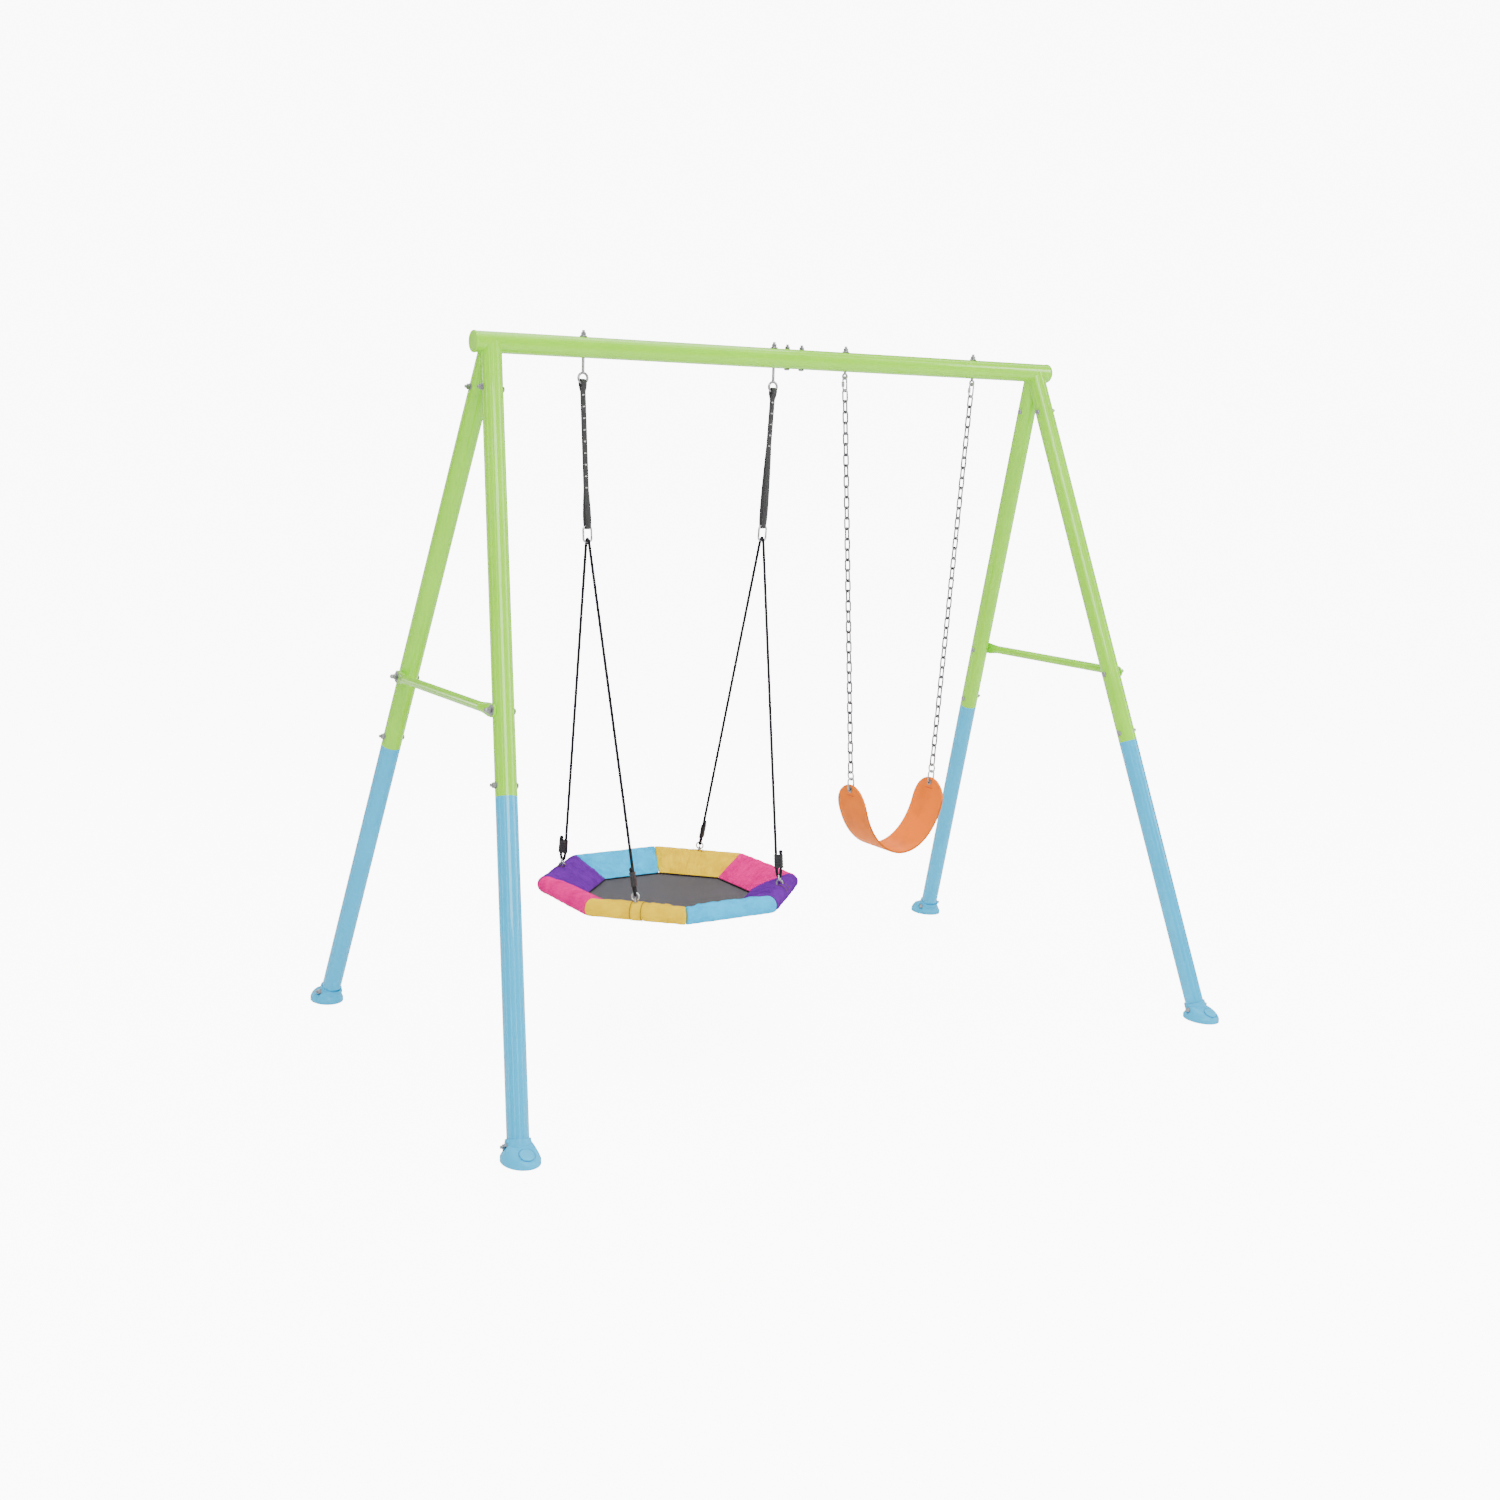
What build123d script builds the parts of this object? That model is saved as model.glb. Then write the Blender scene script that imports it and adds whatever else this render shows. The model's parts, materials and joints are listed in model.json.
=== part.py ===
from build123d import *
import math
import os

# A-frame swing set with a round saucer swing and a belt swing.
# Millimetres. +X runs along the top beam, +Y to the back, +Z up.
# The origin is on the ground, under the middle of the beam.

# Frame: overall sizes
BEAM_Z = 1890.0          # height of the beam's axis
BEAM_HALF = 945.0        # half the beam's length
BEAM_PAST = 45.0         # beam past the line of the legs
LEG_SPREAD = 215.0       # how far a leg leans out along the beam
FOOT_Y = 660.0           # where the leg axes meet the ground
TUBE_R = 27.0            # outer radius of beam and legs
WALL = 1.6
FIT = 0.15               # radial gap of a swaged end in its socket
STUB = 140.0             # welded stub, along the leg from the apex
STUB_R = TUBE_R - 0.2    # outer radius of the stub, a little slimmer than the beam
STUB_SWAGE = 50.0        # how far the upper leg goes up into the stub
LEG_SWAGE = 70.0         # how far the lower leg goes up into the upper leg
SHOULDER = 8.0           # length of the step between a swage and its tube
JOINT_SHARE = 0.575      # leg joint, as a share of the leg's length
BRACE_SHARE = 0.47       # cross brace, as a share of the leg's length
STUB_BOLT_UP = 18.0      # bolt above the stub's end
JOINT_BOLT_UP = 28.0     # bolt above the leg joint
SPLICE_X = 18.0          # where the two beam halves meet
SPLICE_BOLT_OFF = 24.0   # splice bolts each side of that
SLEEVE_HALF = 55.0       # half length of the inner joining sleeve
APEX_X = BEAM_HALF - BEAM_PAST
FOOT_X = APEX_X + LEG_SPREAD

# Fasteners
BOLT_R = 4.0
HOLE_R = BOLT_R + 0.3
HEAD_R = 2 * BOLT_R
HEAD_H = 4.5
HEAD_DOME = 3.5
WASHER_R = 9.0
WASHER_H = 1.6
NUT_FLATS = 13.0
NUT_H = 6.5
NUT_BORE = BOLT_R + 0.08
THREAD_OUT = 6.0         # thread showing past a nut
BIG_WASHER_R = 14.0
DOME_H = 5.0             # dome of a cap nut
DOME_R = NUT_FLATS / 2 - 0.4
DOME_ROUND = DOME_R - 0.8
HEAD_REST = 0.1          # brace bolt's head stands off a curved tube

# End caps
CAP_T = 5.0
CAP_LIP = 1.0
CAP_PLUG = 24.0
CAP_ROUND = 3.5
CAP_PLUG_WALL = 3.0

# Feet
FOOT_AX = 46.0           # half width of the base
FOOT_AY = 58.0           # half length of the base
FOOT_OUT = 10.0          # base centre, outward from the leg's axis
FOOT_RIM = 9.0           # height of the straight rim
COLLAR_R = TUBE_R + 4.0
COLLAR_Z = 46.0          # height of the collar on the leg's axis
COLLAR_LOW_Z = 10.0
NECK_DROP = 8.0          # the skirt meets the collar this far below its top
NECK_PROUD = 1.0
SKIRT_STEP = (5.0, 8.0, 12.0)    # in across, in along and up, of the skirt's middle
TUBE_END_Z = 17.0        # height of the leg's end on its axis
SOCKET_GAP = 0.3
FOOT_BOLT_Z = 30.0
PAD_OUT = 46.0           # stake pad, outward from the leg's axis
PAD_R = 23.0
PAD_TOP = 30.0
PAD_TILT = 26.0
PAD_EDGE = 2.5
GROOVE_W = 2.5           # groove round the disc on the stake pad
GROOVE_DEEP = 2.0
DISC_R = PAD_R - 2 * GROOVE_W
DISC_UP = 2.5
BOLT_RECESS = WASHER_R + 1.5

# Cross braces
BRACE_R = 12.5
BRACE_WALL = 1.5
BRACE_FLAT = 5.0         # thickness of the flattened end
BRACE_FLAT_W = 34.0
BRACE_FLAT_L = 22.0      # flat past the bolt, towards the tube
BRACE_TAPER = 40.0
BRACE_GAP = 0.4
BRACE_EDGE = BRACE_FLAT / 2 - 0.1

# Swing positions along the beam
SAUCER_X = -345.0
SAUCER_EYES = 295.0      # half the distance between its eyebolts
BELT_X = 425.0
BELT_EYES = 232.0

# Eyebolts
SAUCER_EYE_R = 13.0      # wire centre radius of the eye
SAUCER_EYE_WIRE = 3.5
SAUCER_EYE_DROP = TUBE_R + 51.0      # eye centre below the beam's axis
BELT_EYE_R = 7.0
BELT_EYE_WIRE = 3.0
BELT_EYE_DROP = TUBE_R + 12.5
EYE_WASHER_R = 10.0
EYE_WASHER_H = 3.0
EYE_NUT_H = 8.0

# Straps and carabiners
GAP = 0.3                # play between linked rings
STRAP_W = 15.0
STRAP_T = 2.2
STRAP_CLEAR = 0.9        # between a leaning strap's edges and the eye's wire
STRAP_PLAY = 1.6         # between a strap's lower loop and the carabiner
STRAP_LEN = 372.0        # eye wire to carabiner wire
# inside radius of a strap's loop, so that its edges pass inside the eye
EYE_ROOM = SAUCER_EYE_R - SAUCER_EYE_WIRE - STRAP_CLEAR
STRAP_LOOP = SAUCER_EYE_R - math.sqrt(EYE_ROOM ** 2 - (STRAP_W / 2) ** 2)
CLIP_W = 24.0            # carabiner, between wire centres
CLIP_H = 40.0
CLIP_CORNER = 8.0
CLIP_WIRE = 3.0
GATE_R = CLIP_WIRE - 0.3
GATE_TOP = CLIP_CORNER + 3.4     # below the top wire's centre
GATE_PIN = CLIP_H - CLIP_CORNER - 1.0
GATE_TONGUE = 2.5
GATE_NECK = 5.0
GATE_SLOT_H = 7.0
PIN_R = 0.9
PIN_FIT = 0.05

# Ropes and adjusters
ROPE_R = 4.0
ROPE_PLAY = 0.6
RING_R = 10.0            # rim ring, wire centre radius
RING_WIRE = 2.25
RING_PLAY = 0.55         # rope to the ring's wire, at the sides
ROPE_PITCH = 2 * (RING_WIRE + ROPE_R + RING_PLAY)    # between the strands at a rim ring
ROPE_TURN = ROPE_PITCH / 2 - 0.3
ADJ_LOW = 28.0           # adjuster, above the ring's centre
ADJ_H = 38.0
ADJ_WALL = 2.0
ADJ_ROUND = 5.0
ADJ_GROOVES = 4
ADJ_GROOVE_H = 2.8
ADJ_GROOVE_DEEP = ADJ_WALL / 2
ADJ_T = 2 * (ROPE_R + GAP + ADJ_WALL)
ADJ_W = ADJ_T + ROPE_PITCH
KNOT_R = 1.5 * ROPE_R
KNOT_ROUND = KNOT_R - 3.0
KNOT_UP = 1.0            # rope showing between adjuster and knot
TOP_SHARE = 0.84         # half the gap of the rope's top corners, to its reach over the wire

# Saucer
RIM_Z = 425.0
RIM_APOTHEM = 320.0
RIM_R = 12.5
RIM_WALL = 1.5
RIM_BEND = 50.0
RIM_SPLIT = 0.2          # half the gap between the two rim tubes
RIM_JOIN = 60.0          # half length of the inner connector
STAPLE_R = 8.0
STAPLE_WIRE = 2.5
STAPLE_CENTRE = RIM_R + 14.5     # above the rim tube's axis, along the rope
STAPLE_SINK = 5.0        # how far a staple's legs go into the rim tube
PAD_THICK = RIM_R + 12.5         # radius of the padded rim
PAD_BORE = RIM_R + 0.6
PAD_REACH = 600.0        # past the rim, for cutting the mitres
PAD_GAP = 0.25           # from a sleeve's end to its mitre plane
FLAP_IN = 216.0          # inner edge of the coloured flap
FLAP_T = 4.0
FLAP_FALL = 28.0         # flap edge below the rim's axis
FLAP_START = 18.0        # top of the flap above the axis, where it leaves the sleeve
MAT_UNDER = 8.0          # mat edge under the flap
MAT_T = 3.0
MAT_GAP = 0.4
SLOT_L = 2 * (STAPLE_R + STAPLE_WIRE + 2.5)     # opening in a sleeve round a staple
SLOT_T = 2 * (STAPLE_WIRE + 1.0)
SLOT_ROUND = 3.0
SLOT_DEEP = 8.0          # slot floor below the top of the rim tube
SLOT_H = 40.0

# Belt swing
LINK_WIRE = 2.5
QUICK_IN = 36.0
QUICK_W = 13.0
SLEEVE_R = LINK_WIRE + 2.0
SLEEVE_BORE = LINK_WIRE + 0.08
SLEEVE_L = 14.0
LINK_IN = 30.5
LINK_W = 4 * LINK_WIRE
LINKS = 37
END_RING_R = 13.0
HOOK_IN = 30.0
HOOK_PLAY = 5.0          # belt and eyelet inside a hook
BELT_HALF = 150.0        # half the distance between the belt's ends
BELT_DEPTH = 208.0
BELT_T = 6.0
BELT_W = 145.0
BELT_HOLE = 15.0         # hole centre below the belt's end
EYELET_R = LINK_WIRE + 3.0
EYELET_WALL = 1.4
EYELET_FLANGE = EYELET_R + EYELET_WALL + 2.3
EYELET_PLATE = 1.2
EYELET_GAP = 0.8
EYELET_FIT = 0.2
HOOK_W = BELT_T + 2 * (EYELET_GAP + EYELET_PLATE) + HOOK_PLAY

X = Vector(1, 0, 0)
Y = Vector(0, 1, 0)
Z = Vector(0, 0, 1)
SIDES = {"left": -1, "right": 1}
ENDS = {"front": -1, "back": 1}
CORNERS = [(s, e) for s in SIDES for e in ENDS]

parts = {}


def bar(start, end, radius, bore=0.0):
    """Round bar, or tube when it has a bore, from start to end."""
    face = Circle(radius)
    if bore:
        face -= Circle(bore)
    return extrude(Plane(origin=start, z_dir=end - start) * face, (end - start).length)


def ring(plane, radius, wire):
    return plane * Torus(radius, wire)


def group(solids):
    return Compound(children=[solid for item in solids for solid in item.solids()])


def off_axis(direction, axis):
    """The part of direction that is square to axis, at unit length."""
    return (direction - axis * direction.dot(axis)).normalized()


# ---------------------------------------------------------------- leg lines
def apex(side):
    return Vector(SIDES[side] * APEX_X, 0, BEAM_Z)


def ground(side, end):
    return Vector(SIDES[side] * FOOT_X, ENDS[end] * FOOT_Y, 0)


def leg_axis(side, end):
    return (ground(side, end) - apex(side)).normalized()


LEG_LENGTH = (ground("left", "front") - apex("left")).length
JOINT = JOINT_SHARE * LEG_LENGTH


def on_leg(side, end, distance):
    return apex(side) + leg_axis(side, end) * distance


def at_height(height):
    """Distance along a leg where its axis is at this height."""
    return LEG_LENGTH * (BEAM_Z - height) / BEAM_Z


def bolt_way(side, end):
    """Outward along X, square to the leg."""
    return off_axis(X * SIDES[side], leg_axis(side, end))


def brace_way(side):
    """Square to both legs of an A-frame, as near as one direction can be."""
    both = bolt_way(side, "front") + bolt_way(side, "back")
    return both.normalized()


# ---------------------------------------------------------------- fasteners
def bolt(centre, way, head_at, nut_at, washer_height=WASHER_H):
    """Domed bolt through centre, its head at -way and its thread at +way."""
    head = Plane(origin=centre - way * head_at, z_dir=way * -1)
    cap = extrude(head * Circle(HEAD_R), HEAD_H)
    cap = fillet(cap.faces().sort_by(Axis(head.origin, head.z_dir))[-1].edges(), HEAD_DOME)
    tip = centre + way * (nut_at + washer_height + NUT_H + THREAD_OUT)
    return cap + bar(head.origin, tip, BOLT_R)


def washer(centre, way, at, radius=WASHER_R, height=WASHER_H):
    start = centre + way * at
    return bar(start, start + way * height, radius, HOLE_R)


def nut(centre, way, at, height=NUT_H, flats=NUT_FLATS):
    plane = Plane(origin=centre + way * at, z_dir=way)
    hexagon = RegularPolygon(flats / 2, 6, major_radius=False)
    return extrude(plane * (hexagon - Circle(NUT_BORE)), height)


def cap_nut(centre, way, at):
    """Hexagon nut closed by a dome over the bolt's end."""
    body = extrude(Plane(origin=centre + way * at, z_dir=way)
                   * RegularPolygon(NUT_FLATS / 2, 6, major_radius=False), NUT_H)
    top = centre + way * (at + NUT_H)
    dome = bar(top, top + way * (THREAD_OUT + DOME_H), DOME_R)
    tip = dome.faces().sort_by(Axis(top, way))[-1].edges()
    dome = fillet(tip, DOME_ROUND)
    cavity = bar(top - way * NUT_H, top + way * (THREAD_OUT + HEAD_REST), NUT_BORE)
    return body + dome - cavity


def hole(centre, way, reach=TUBE_R + 20):
    return bar(centre - way * reach, centre + way * reach, HOLE_R)


# ---------------------------------------------------------------- beam
def eye_places():
    for sign in (-1, 1):
        yield "saucer", SAUCER_X + sign * SAUCER_EYES
        yield "belt", BELT_X + sign * BELT_EYES


SPLICE_BOLTS = [SPLICE_X - SPLICE_BOLT_OFF, SPLICE_X + SPLICE_BOLT_OFF]


def beam_axis_point(x):
    return Vector(x, 0, BEAM_Z)


def make_beam(side):
    sign = SIDES[side]
    outer_end = beam_axis_point(sign * BEAM_HALF)
    splice = beam_axis_point(SPLICE_X)
    tube = bar(outer_end, splice, TUBE_R, TUBE_R - WALL)
    stubs = None
    bores = None
    for end in ENDS:
        start, stop = apex(side), on_leg(side, end, STUB)
        outer, bore = bar(start, stop, STUB_R), bar(start, stop, TUBE_R - WALL)
        stubs = outer if stubs is None else stubs + outer
        bores = bore if bores is None else bores + bore
    welded = stubs - bores - bar(outer_end, splice, TUBE_R)
    beam = tube + welded
    for end in ENDS:
        beam -= hole(on_leg(side, end, STUB - STUB_BOLT_UP), bolt_way(side, end))
    for x in [place for _, place in eye_places()] + SPLICE_BOLTS:
        if (x - SPLICE_X) * sign > 0:
            beam -= hole(beam_axis_point(x), Z)
    return beam


for name in SIDES:
    parts[f"beam_{name}"] = make_beam(name)

sleeve = bar(beam_axis_point(SPLICE_X - SLEEVE_HALF), beam_axis_point(SPLICE_X + SLEEVE_HALF),
             TUBE_R - WALL - FIT, TUBE_R - 2 * WALL - FIT)
for x in SPLICE_BOLTS:
    sleeve -= hole(beam_axis_point(x), Z)
parts["beam_sleeve"] = sleeve

for name, sign in SIDES.items():
    face = beam_axis_point(sign * BEAM_HALF)
    cap = bar(face, face + X * sign * CAP_T, TUBE_R + CAP_LIP)
    cap = fillet(cap.faces().sort_by(Axis.X)[0 if sign < 0 else -1].edges(), CAP_ROUND)
    inside = TUBE_R - WALL - FIT
    plug = bar(face, face - X * sign * CAP_PLUG, inside, inside - CAP_PLUG_WALL)
    parts[f"beam_end_cap_{name}"] = cap + plug


# ---------------------------------------------------------------- legs
def swaged_leg(side, end, top, bottom, swage):
    """Tube whose reduced top goes up into the tube above it."""
    def point(distance):
        return on_leg(side, end, distance)
    small = TUBE_R - WALL - FIT
    outer = bar(point(top), point(bottom), TUBE_R) + bar(point(top - swage), point(top), small)
    outer -= bar(point(top + SHOULDER), point(bottom), TUBE_R - WALL)
    return outer - bar(point(top - swage), point(top + SHOULDER), small - WALL)


BRACE_AT = BRACE_SHARE * LEG_LENGTH
FOOT_BOLT = at_height(FOOT_BOLT_Z)
LEG_END = at_height(TUBE_END_Z)

for side, end in CORNERS:
    leg = swaged_leg(side, end, STUB, JOINT, STUB_SWAGE)
    leg -= hole(on_leg(side, end, STUB - STUB_BOLT_UP), bolt_way(side, end))
    leg -= hole(on_leg(side, end, JOINT - JOINT_BOLT_UP), bolt_way(side, end))
    leg -= hole(on_leg(side, end, BRACE_AT), brace_way(side))
    parts[f"upper_leg_{end}_{side}"] = leg
    leg = swaged_leg(side, end, JOINT, LEG_END, LEG_SWAGE)
    leg -= hole(on_leg(side, end, JOINT - JOINT_BOLT_UP), bolt_way(side, end))
    leg -= hole(on_leg(side, end, FOOT_BOLT), bolt_way(side, end))
    parts[f"lower_leg_{end}_{side}"] = leg


# ---------------------------------------------------------------- feet
def foot_body(side, end):
    """Base, flared skirt and collar round the leg's end."""
    flat = Plane(origin=ground(side, end) + Y * ENDS[end] * FOOT_OUT)
    across, along, up = SKIRT_STEP
    skirt = loft([
        flat.offset(FOOT_RIM) * Ellipse(FOOT_AX, FOOT_AY),
        flat.offset(FOOT_RIM + up) * Ellipse(FOOT_AX - across, FOOT_AY - along),
        Plane(origin=on_leg(side, end, at_height(COLLAR_Z - NECK_DROP))) * Circle(COLLAR_R + NECK_PROUD),
    ])
    collar_low, collar_top = at_height(COLLAR_LOW_Z), at_height(COLLAR_Z)
    collar = bar(on_leg(side, end, collar_low), on_leg(side, end, collar_top), COLLAR_R)
    return extrude(flat * Ellipse(FOOT_AX, FOOT_AY), FOOT_RIM) + skirt + collar


def stake_pad(side, end):
    """Tilted round pad on the outer side of a foot, with a groove round its disc."""
    tilt = math.radians(PAD_TILT)
    way = Vector(0, ENDS[end] * math.sin(tilt), math.cos(tilt))
    low = ground(side, end) + Y * ENDS[end] * (PAD_OUT - PAD_TOP * math.tan(tilt))
    top = low + way * PAD_TOP
    pad = bar(low, top, PAD_R)
    pad = fillet(pad.faces().sort_by(Axis.Z)[-1].edges(), PAD_EDGE)
    disc = bar(top - way * GROOVE_DEEP, top + way * DISC_UP, DISC_R)
    return pad + disc, bar(top - way * GROOVE_DEEP, top + way * DISC_UP, DISC_R + GROOVE_W, DISC_R)


def make_foot(side, end):
    pad, groove = stake_pad(side, end)
    body = foot_body(side, end) + pad - groove
    socket_floor = on_leg(side, end, LEG_END + SOCKET_GAP)
    body -= bar(socket_floor, on_leg(side, end, at_height(2 * COLLAR_Z)), TUBE_R + SOCKET_GAP)
    centre, reach = on_leg(side, end, FOOT_BOLT), FOOT_AY
    body -= hole(centre, bolt_way(side, end), reach)
    for way in (bolt_way(side, end), bolt_way(side, end) * -1):
        body -= bar(centre + way * COLLAR_R, centre + way * (COLLAR_R + reach), BOLT_RECESS)
    below = Box(4 * FOOT_X, 4 * FOOT_Y, TUBE_R, align=(Align.CENTER, Align.CENTER, Align.MAX))
    return body - below


for side, end in CORNERS:
    parts[f"foot_{end}_{side}"] = make_foot(side, end)


# ---------------------------------------------------------------- braces
def make_brace(side):
    way = brace_way(side)
    lift = way * (TUBE_R + BRACE_GAP + BRACE_FLAT / 2)
    ends = [on_leg(side, end, BRACE_AT) + lift for end in ("front", "back")]
    run = (ends[1] - ends[0]).normalized()
    brace = None
    for point, inward in ((ends[0], run), (ends[1], run * -1)):
        flat_plane = Plane(origin=point, x_dir=inward, z_dir=way)
        flat = extrude(flat_plane.offset(-BRACE_FLAT / 2)
                       * (Pos(BRACE_FLAT_L / 2, 0) * Rectangle(BRACE_FLAT_L, BRACE_FLAT_W)
                          + Circle(BRACE_FLAT_W / 2)), BRACE_FLAT)
        section = Plane(origin=point + inward * BRACE_FLAT_L, x_dir=way, z_dir=inward)
        taper = loft([
            section * RectangleRounded(BRACE_FLAT, BRACE_FLAT_W, BRACE_EDGE),
            section.offset(BRACE_TAPER) * Circle(BRACE_R),
        ])
        piece = flat + taper
        piece -= bar(point - way * BRACE_FLAT, point + way * BRACE_FLAT, HOLE_R)
        brace = piece if brace is None else brace + piece
    reach = BRACE_FLAT_L + BRACE_TAPER
    middle = bar(ends[0] + run * reach, ends[1] - run * reach, BRACE_R, BRACE_R - BRACE_WALL)
    return brace + middle


for name in SIDES:
    parts[f"brace_{name}"] = make_brace(name)

# ---------------------------------------------------------------- frame fasteners
leg_bolts, brace_bolts, foot_bolts = [], [], []
bolt_washers, hex_nuts = [], []
brace_washers, brace_nuts = [], []
for side, end in CORNERS:
    for distance, surface in ((STUB - STUB_BOLT_UP, STUB_R), (JOINT - JOINT_BOLT_UP, TUBE_R)):
        centre, way = on_leg(side, end, distance), bolt_way(side, end)
        leg_bolts.append(bolt(centre, way, surface, surface))
        bolt_washers.append(washer(centre, way, surface))
        hex_nuts.append(nut(centre, way, surface + WASHER_H))
    centre, way = on_leg(side, end, BRACE_AT), brace_way(side)
    outer_face = TUBE_R + BRACE_GAP + BRACE_FLAT
    brace_bolts.append(bolt(centre, way, TUBE_R + HEAD_REST, outer_face))
    brace_washers.append(washer(centre, way, outer_face, BIG_WASHER_R))
    brace_nuts.append(cap_nut(centre, way, outer_face + WASHER_H))
    centre, way = on_leg(side, end, FOOT_BOLT), bolt_way(side, end)
    foot_bolts.append(bolt(centre, way, COLLAR_R, COLLAR_R))
    bolt_washers.append(washer(centre, way, COLLAR_R))
    hex_nuts.append(nut(centre, way, COLLAR_R + WASHER_H))
splice_bolts = []
for x in SPLICE_BOLTS:
    splice_bolts.append(bolt(beam_axis_point(x), Z, TUBE_R, TUBE_R, washer_height=0.0))
    hex_nuts.append(nut(beam_axis_point(x), Z, TUBE_R))
parts["leg_bolts"] = group(leg_bolts)
parts["brace_bolts"] = group(brace_bolts)
parts["foot_bolts"] = group(foot_bolts)
parts["splice_bolts"] = group(splice_bolts)
parts["bolt_washers"] = group(bolt_washers)
parts["hex_nuts"] = group(hex_nuts)
parts["brace_washers"] = group(brace_washers)
parts["brace_cap_nuts"] = group(brace_nuts)

# ---------------------------------------------------------------- eyebolts
EYES = {
    "saucer": (SAUCER_EYE_R, SAUCER_EYE_WIRE, SAUCER_EYE_DROP),
    "belt": (BELT_EYE_R, BELT_EYE_WIRE, BELT_EYE_DROP),
}
eyebolts = {"saucer": [], "belt": []}
eye_washers, eye_nuts = [], []
for kind, x in eye_places():
    radius, wire, drop = EYES[kind]
    centre = beam_axis_point(x) - Z * drop
    shank_top = TUBE_R + EYE_WASHER_H + EYE_NUT_H + THREAD_OUT
    shank = bar(centre + Z * radius, beam_axis_point(x) + Z * shank_top, BOLT_R)
    eyebolts[kind].append(ring(Plane(origin=centre, z_dir=Y), radius, wire) + shank)
    eye_washers.append(washer(beam_axis_point(x), Z, TUBE_R, EYE_WASHER_R, EYE_WASHER_H))
    eye_nuts.append(nut(beam_axis_point(x), Z, TUBE_R + EYE_WASHER_H, EYE_NUT_H))
parts["saucer_eyebolts"] = group(eyebolts["saucer"])
parts["belt_eyebolts"] = group(eyebolts["belt"])
parts["eyebolt_washers"] = group(eye_washers)
parts["eyebolt_nuts"] = group(eye_nuts)

# ---------------------------------------------------------------- saucer hangers
SAUCER_PIVOT_Z = BEAM_Z - SAUCER_EYE_DROP - SAUCER_EYE_R
ATTACH = RIM_APOTHEM * math.cos(math.pi / 4)     # rim ring offset in X and Y
LEAN = math.atan2(SAUCER_EYES - ATTACH, SAUCER_PIVOT_Z - RIM_Z)


def hanger_plane(side):
    """At the eye's lower wire: x across, y up the strap, z to the front."""
    sign = SIDES[side]
    up = Vector(sign * math.sin(LEAN), 0, math.cos(LEAN))
    across = up.cross(Y * -1)
    origin = Vector(SAUCER_X + sign * SAUCER_EYES, 0, SAUCER_PIVOT_Z)
    return Plane(origin=origin, x_dir=across, z_dir=Y * -1)


def place(plane, u, v, w=0.0):
    return plane.from_local_coords(Vector(u, v, w))


CLIP_TOP = -STRAP_LEN
CLIP_BOTTOM = CLIP_TOP - CLIP_H


def make_strap(side):
    plane = hanger_plane(side)
    low = CLIP_TOP + STRAP_LOOP - CLIP_WIRE - STRAP_PLAY
    side_plane = Plane(origin=plane.origin - plane.x_dir * STRAP_W / 2,
                       x_dir=plane.z_dir * -1, z_dir=plane.x_dir)
    # seen from the side, the webbing is a long loop round both wires
    middle = Rot(0, 0, 90) * Pos(low / 2, 0)
    outer = middle * SlotCenterToCenter(-low, 2 * (STRAP_LOOP + STRAP_T))
    inner = middle * SlotCenterToCenter(-low, 2 * STRAP_LOOP)
    return extrude(side_plane * (outer - inner), STRAP_W)


def pin_bar(plane, reach, radius):
    pin_at = CLIP_TOP - GATE_PIN
    return bar(place(plane, CLIP_W / 2, pin_at, -reach), place(plane, CLIP_W / 2, pin_at, reach), radius)


def make_clip(side):
    """Carabiner: a rounded wire frame with a gap that the gate closes."""
    plane = hanger_plane(side)
    half_w = CLIP_W / 2
    gate_low, gate_high = CLIP_TOP - GATE_PIN, CLIP_TOP - GATE_TOP
    route = [place(plane, half_w, gate_low), place(plane, half_w, CLIP_BOTTOM),
             place(plane, -half_w, CLIP_BOTTOM), place(plane, -half_w, CLIP_TOP),
             place(plane, half_w, CLIP_TOP), place(plane, half_w, gate_high + GAP)]
    path = FilletPolyline(*route, radius=CLIP_CORNER)
    body = sweep(Plane(origin=route[0], z_dir=plane.y_dir * -1) * Circle(CLIP_WIRE), path=path)
    body += bar(route[0], route[0] + plane.y_dir * GATE_TONGUE, CLIP_WIRE)
    slot = Box(4 * CLIP_WIRE, GATE_SLOT_H, GATE_TONGUE + 2 * GAP,
               align=(Align.CENTER, Align.MIN, Align.CENTER))
    body -= plane * Pos(half_w, gate_low - GATE_TONGUE - GAP, 0) * slot
    return body - pin_bar(plane, 2 * CLIP_WIRE, PIN_R + PIN_FIT)


def make_gate(side):
    plane = hanger_plane(side)
    half_w = CLIP_W / 2
    low, high = CLIP_TOP - GATE_PIN, CLIP_TOP - GATE_TOP
    rod = bar(place(plane, half_w, low + GATE_NECK), place(plane, half_w, high), GATE_R)
    tongue = Pos(0, GATE_NECK / 2, 0) * Box(2 * GATE_TONGUE, GATE_NECK + 1, GATE_TONGUE)
    tongue += Cylinder(GATE_TONGUE, GATE_TONGUE)
    tongue -= Cylinder(PIN_R + PIN_FIT, 2 * GATE_TONGUE)
    tongue &= Pos(0, GATE_NECK / 2, 0) * Box(2 * GATE_TONGUE, GATE_NECK + 2 * GATE_TONGUE, GATE_TONGUE)
    return rod + plane * Pos(half_w, low, 0) * tongue


pins = []
for name in SIDES:
    parts[f"strap_{name}"] = make_strap(name)
    parts[f"carabiner_{name}"] = make_clip(name)
    parts[f"carabiner_gate_{name}"] = make_gate(name)
    pins.append(pin_bar(hanger_plane(name), CLIP_WIRE, PIN_R))
parts["gate_pins"] = group(pins)


# ---------------------------------------------------------------- saucer ropes
def rim_angle(side, end):
    """Direction from the saucer's centre to a rim ring, in degrees."""
    return math.degrees(math.atan2(ENDS[end], SIDES[side]))


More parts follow.
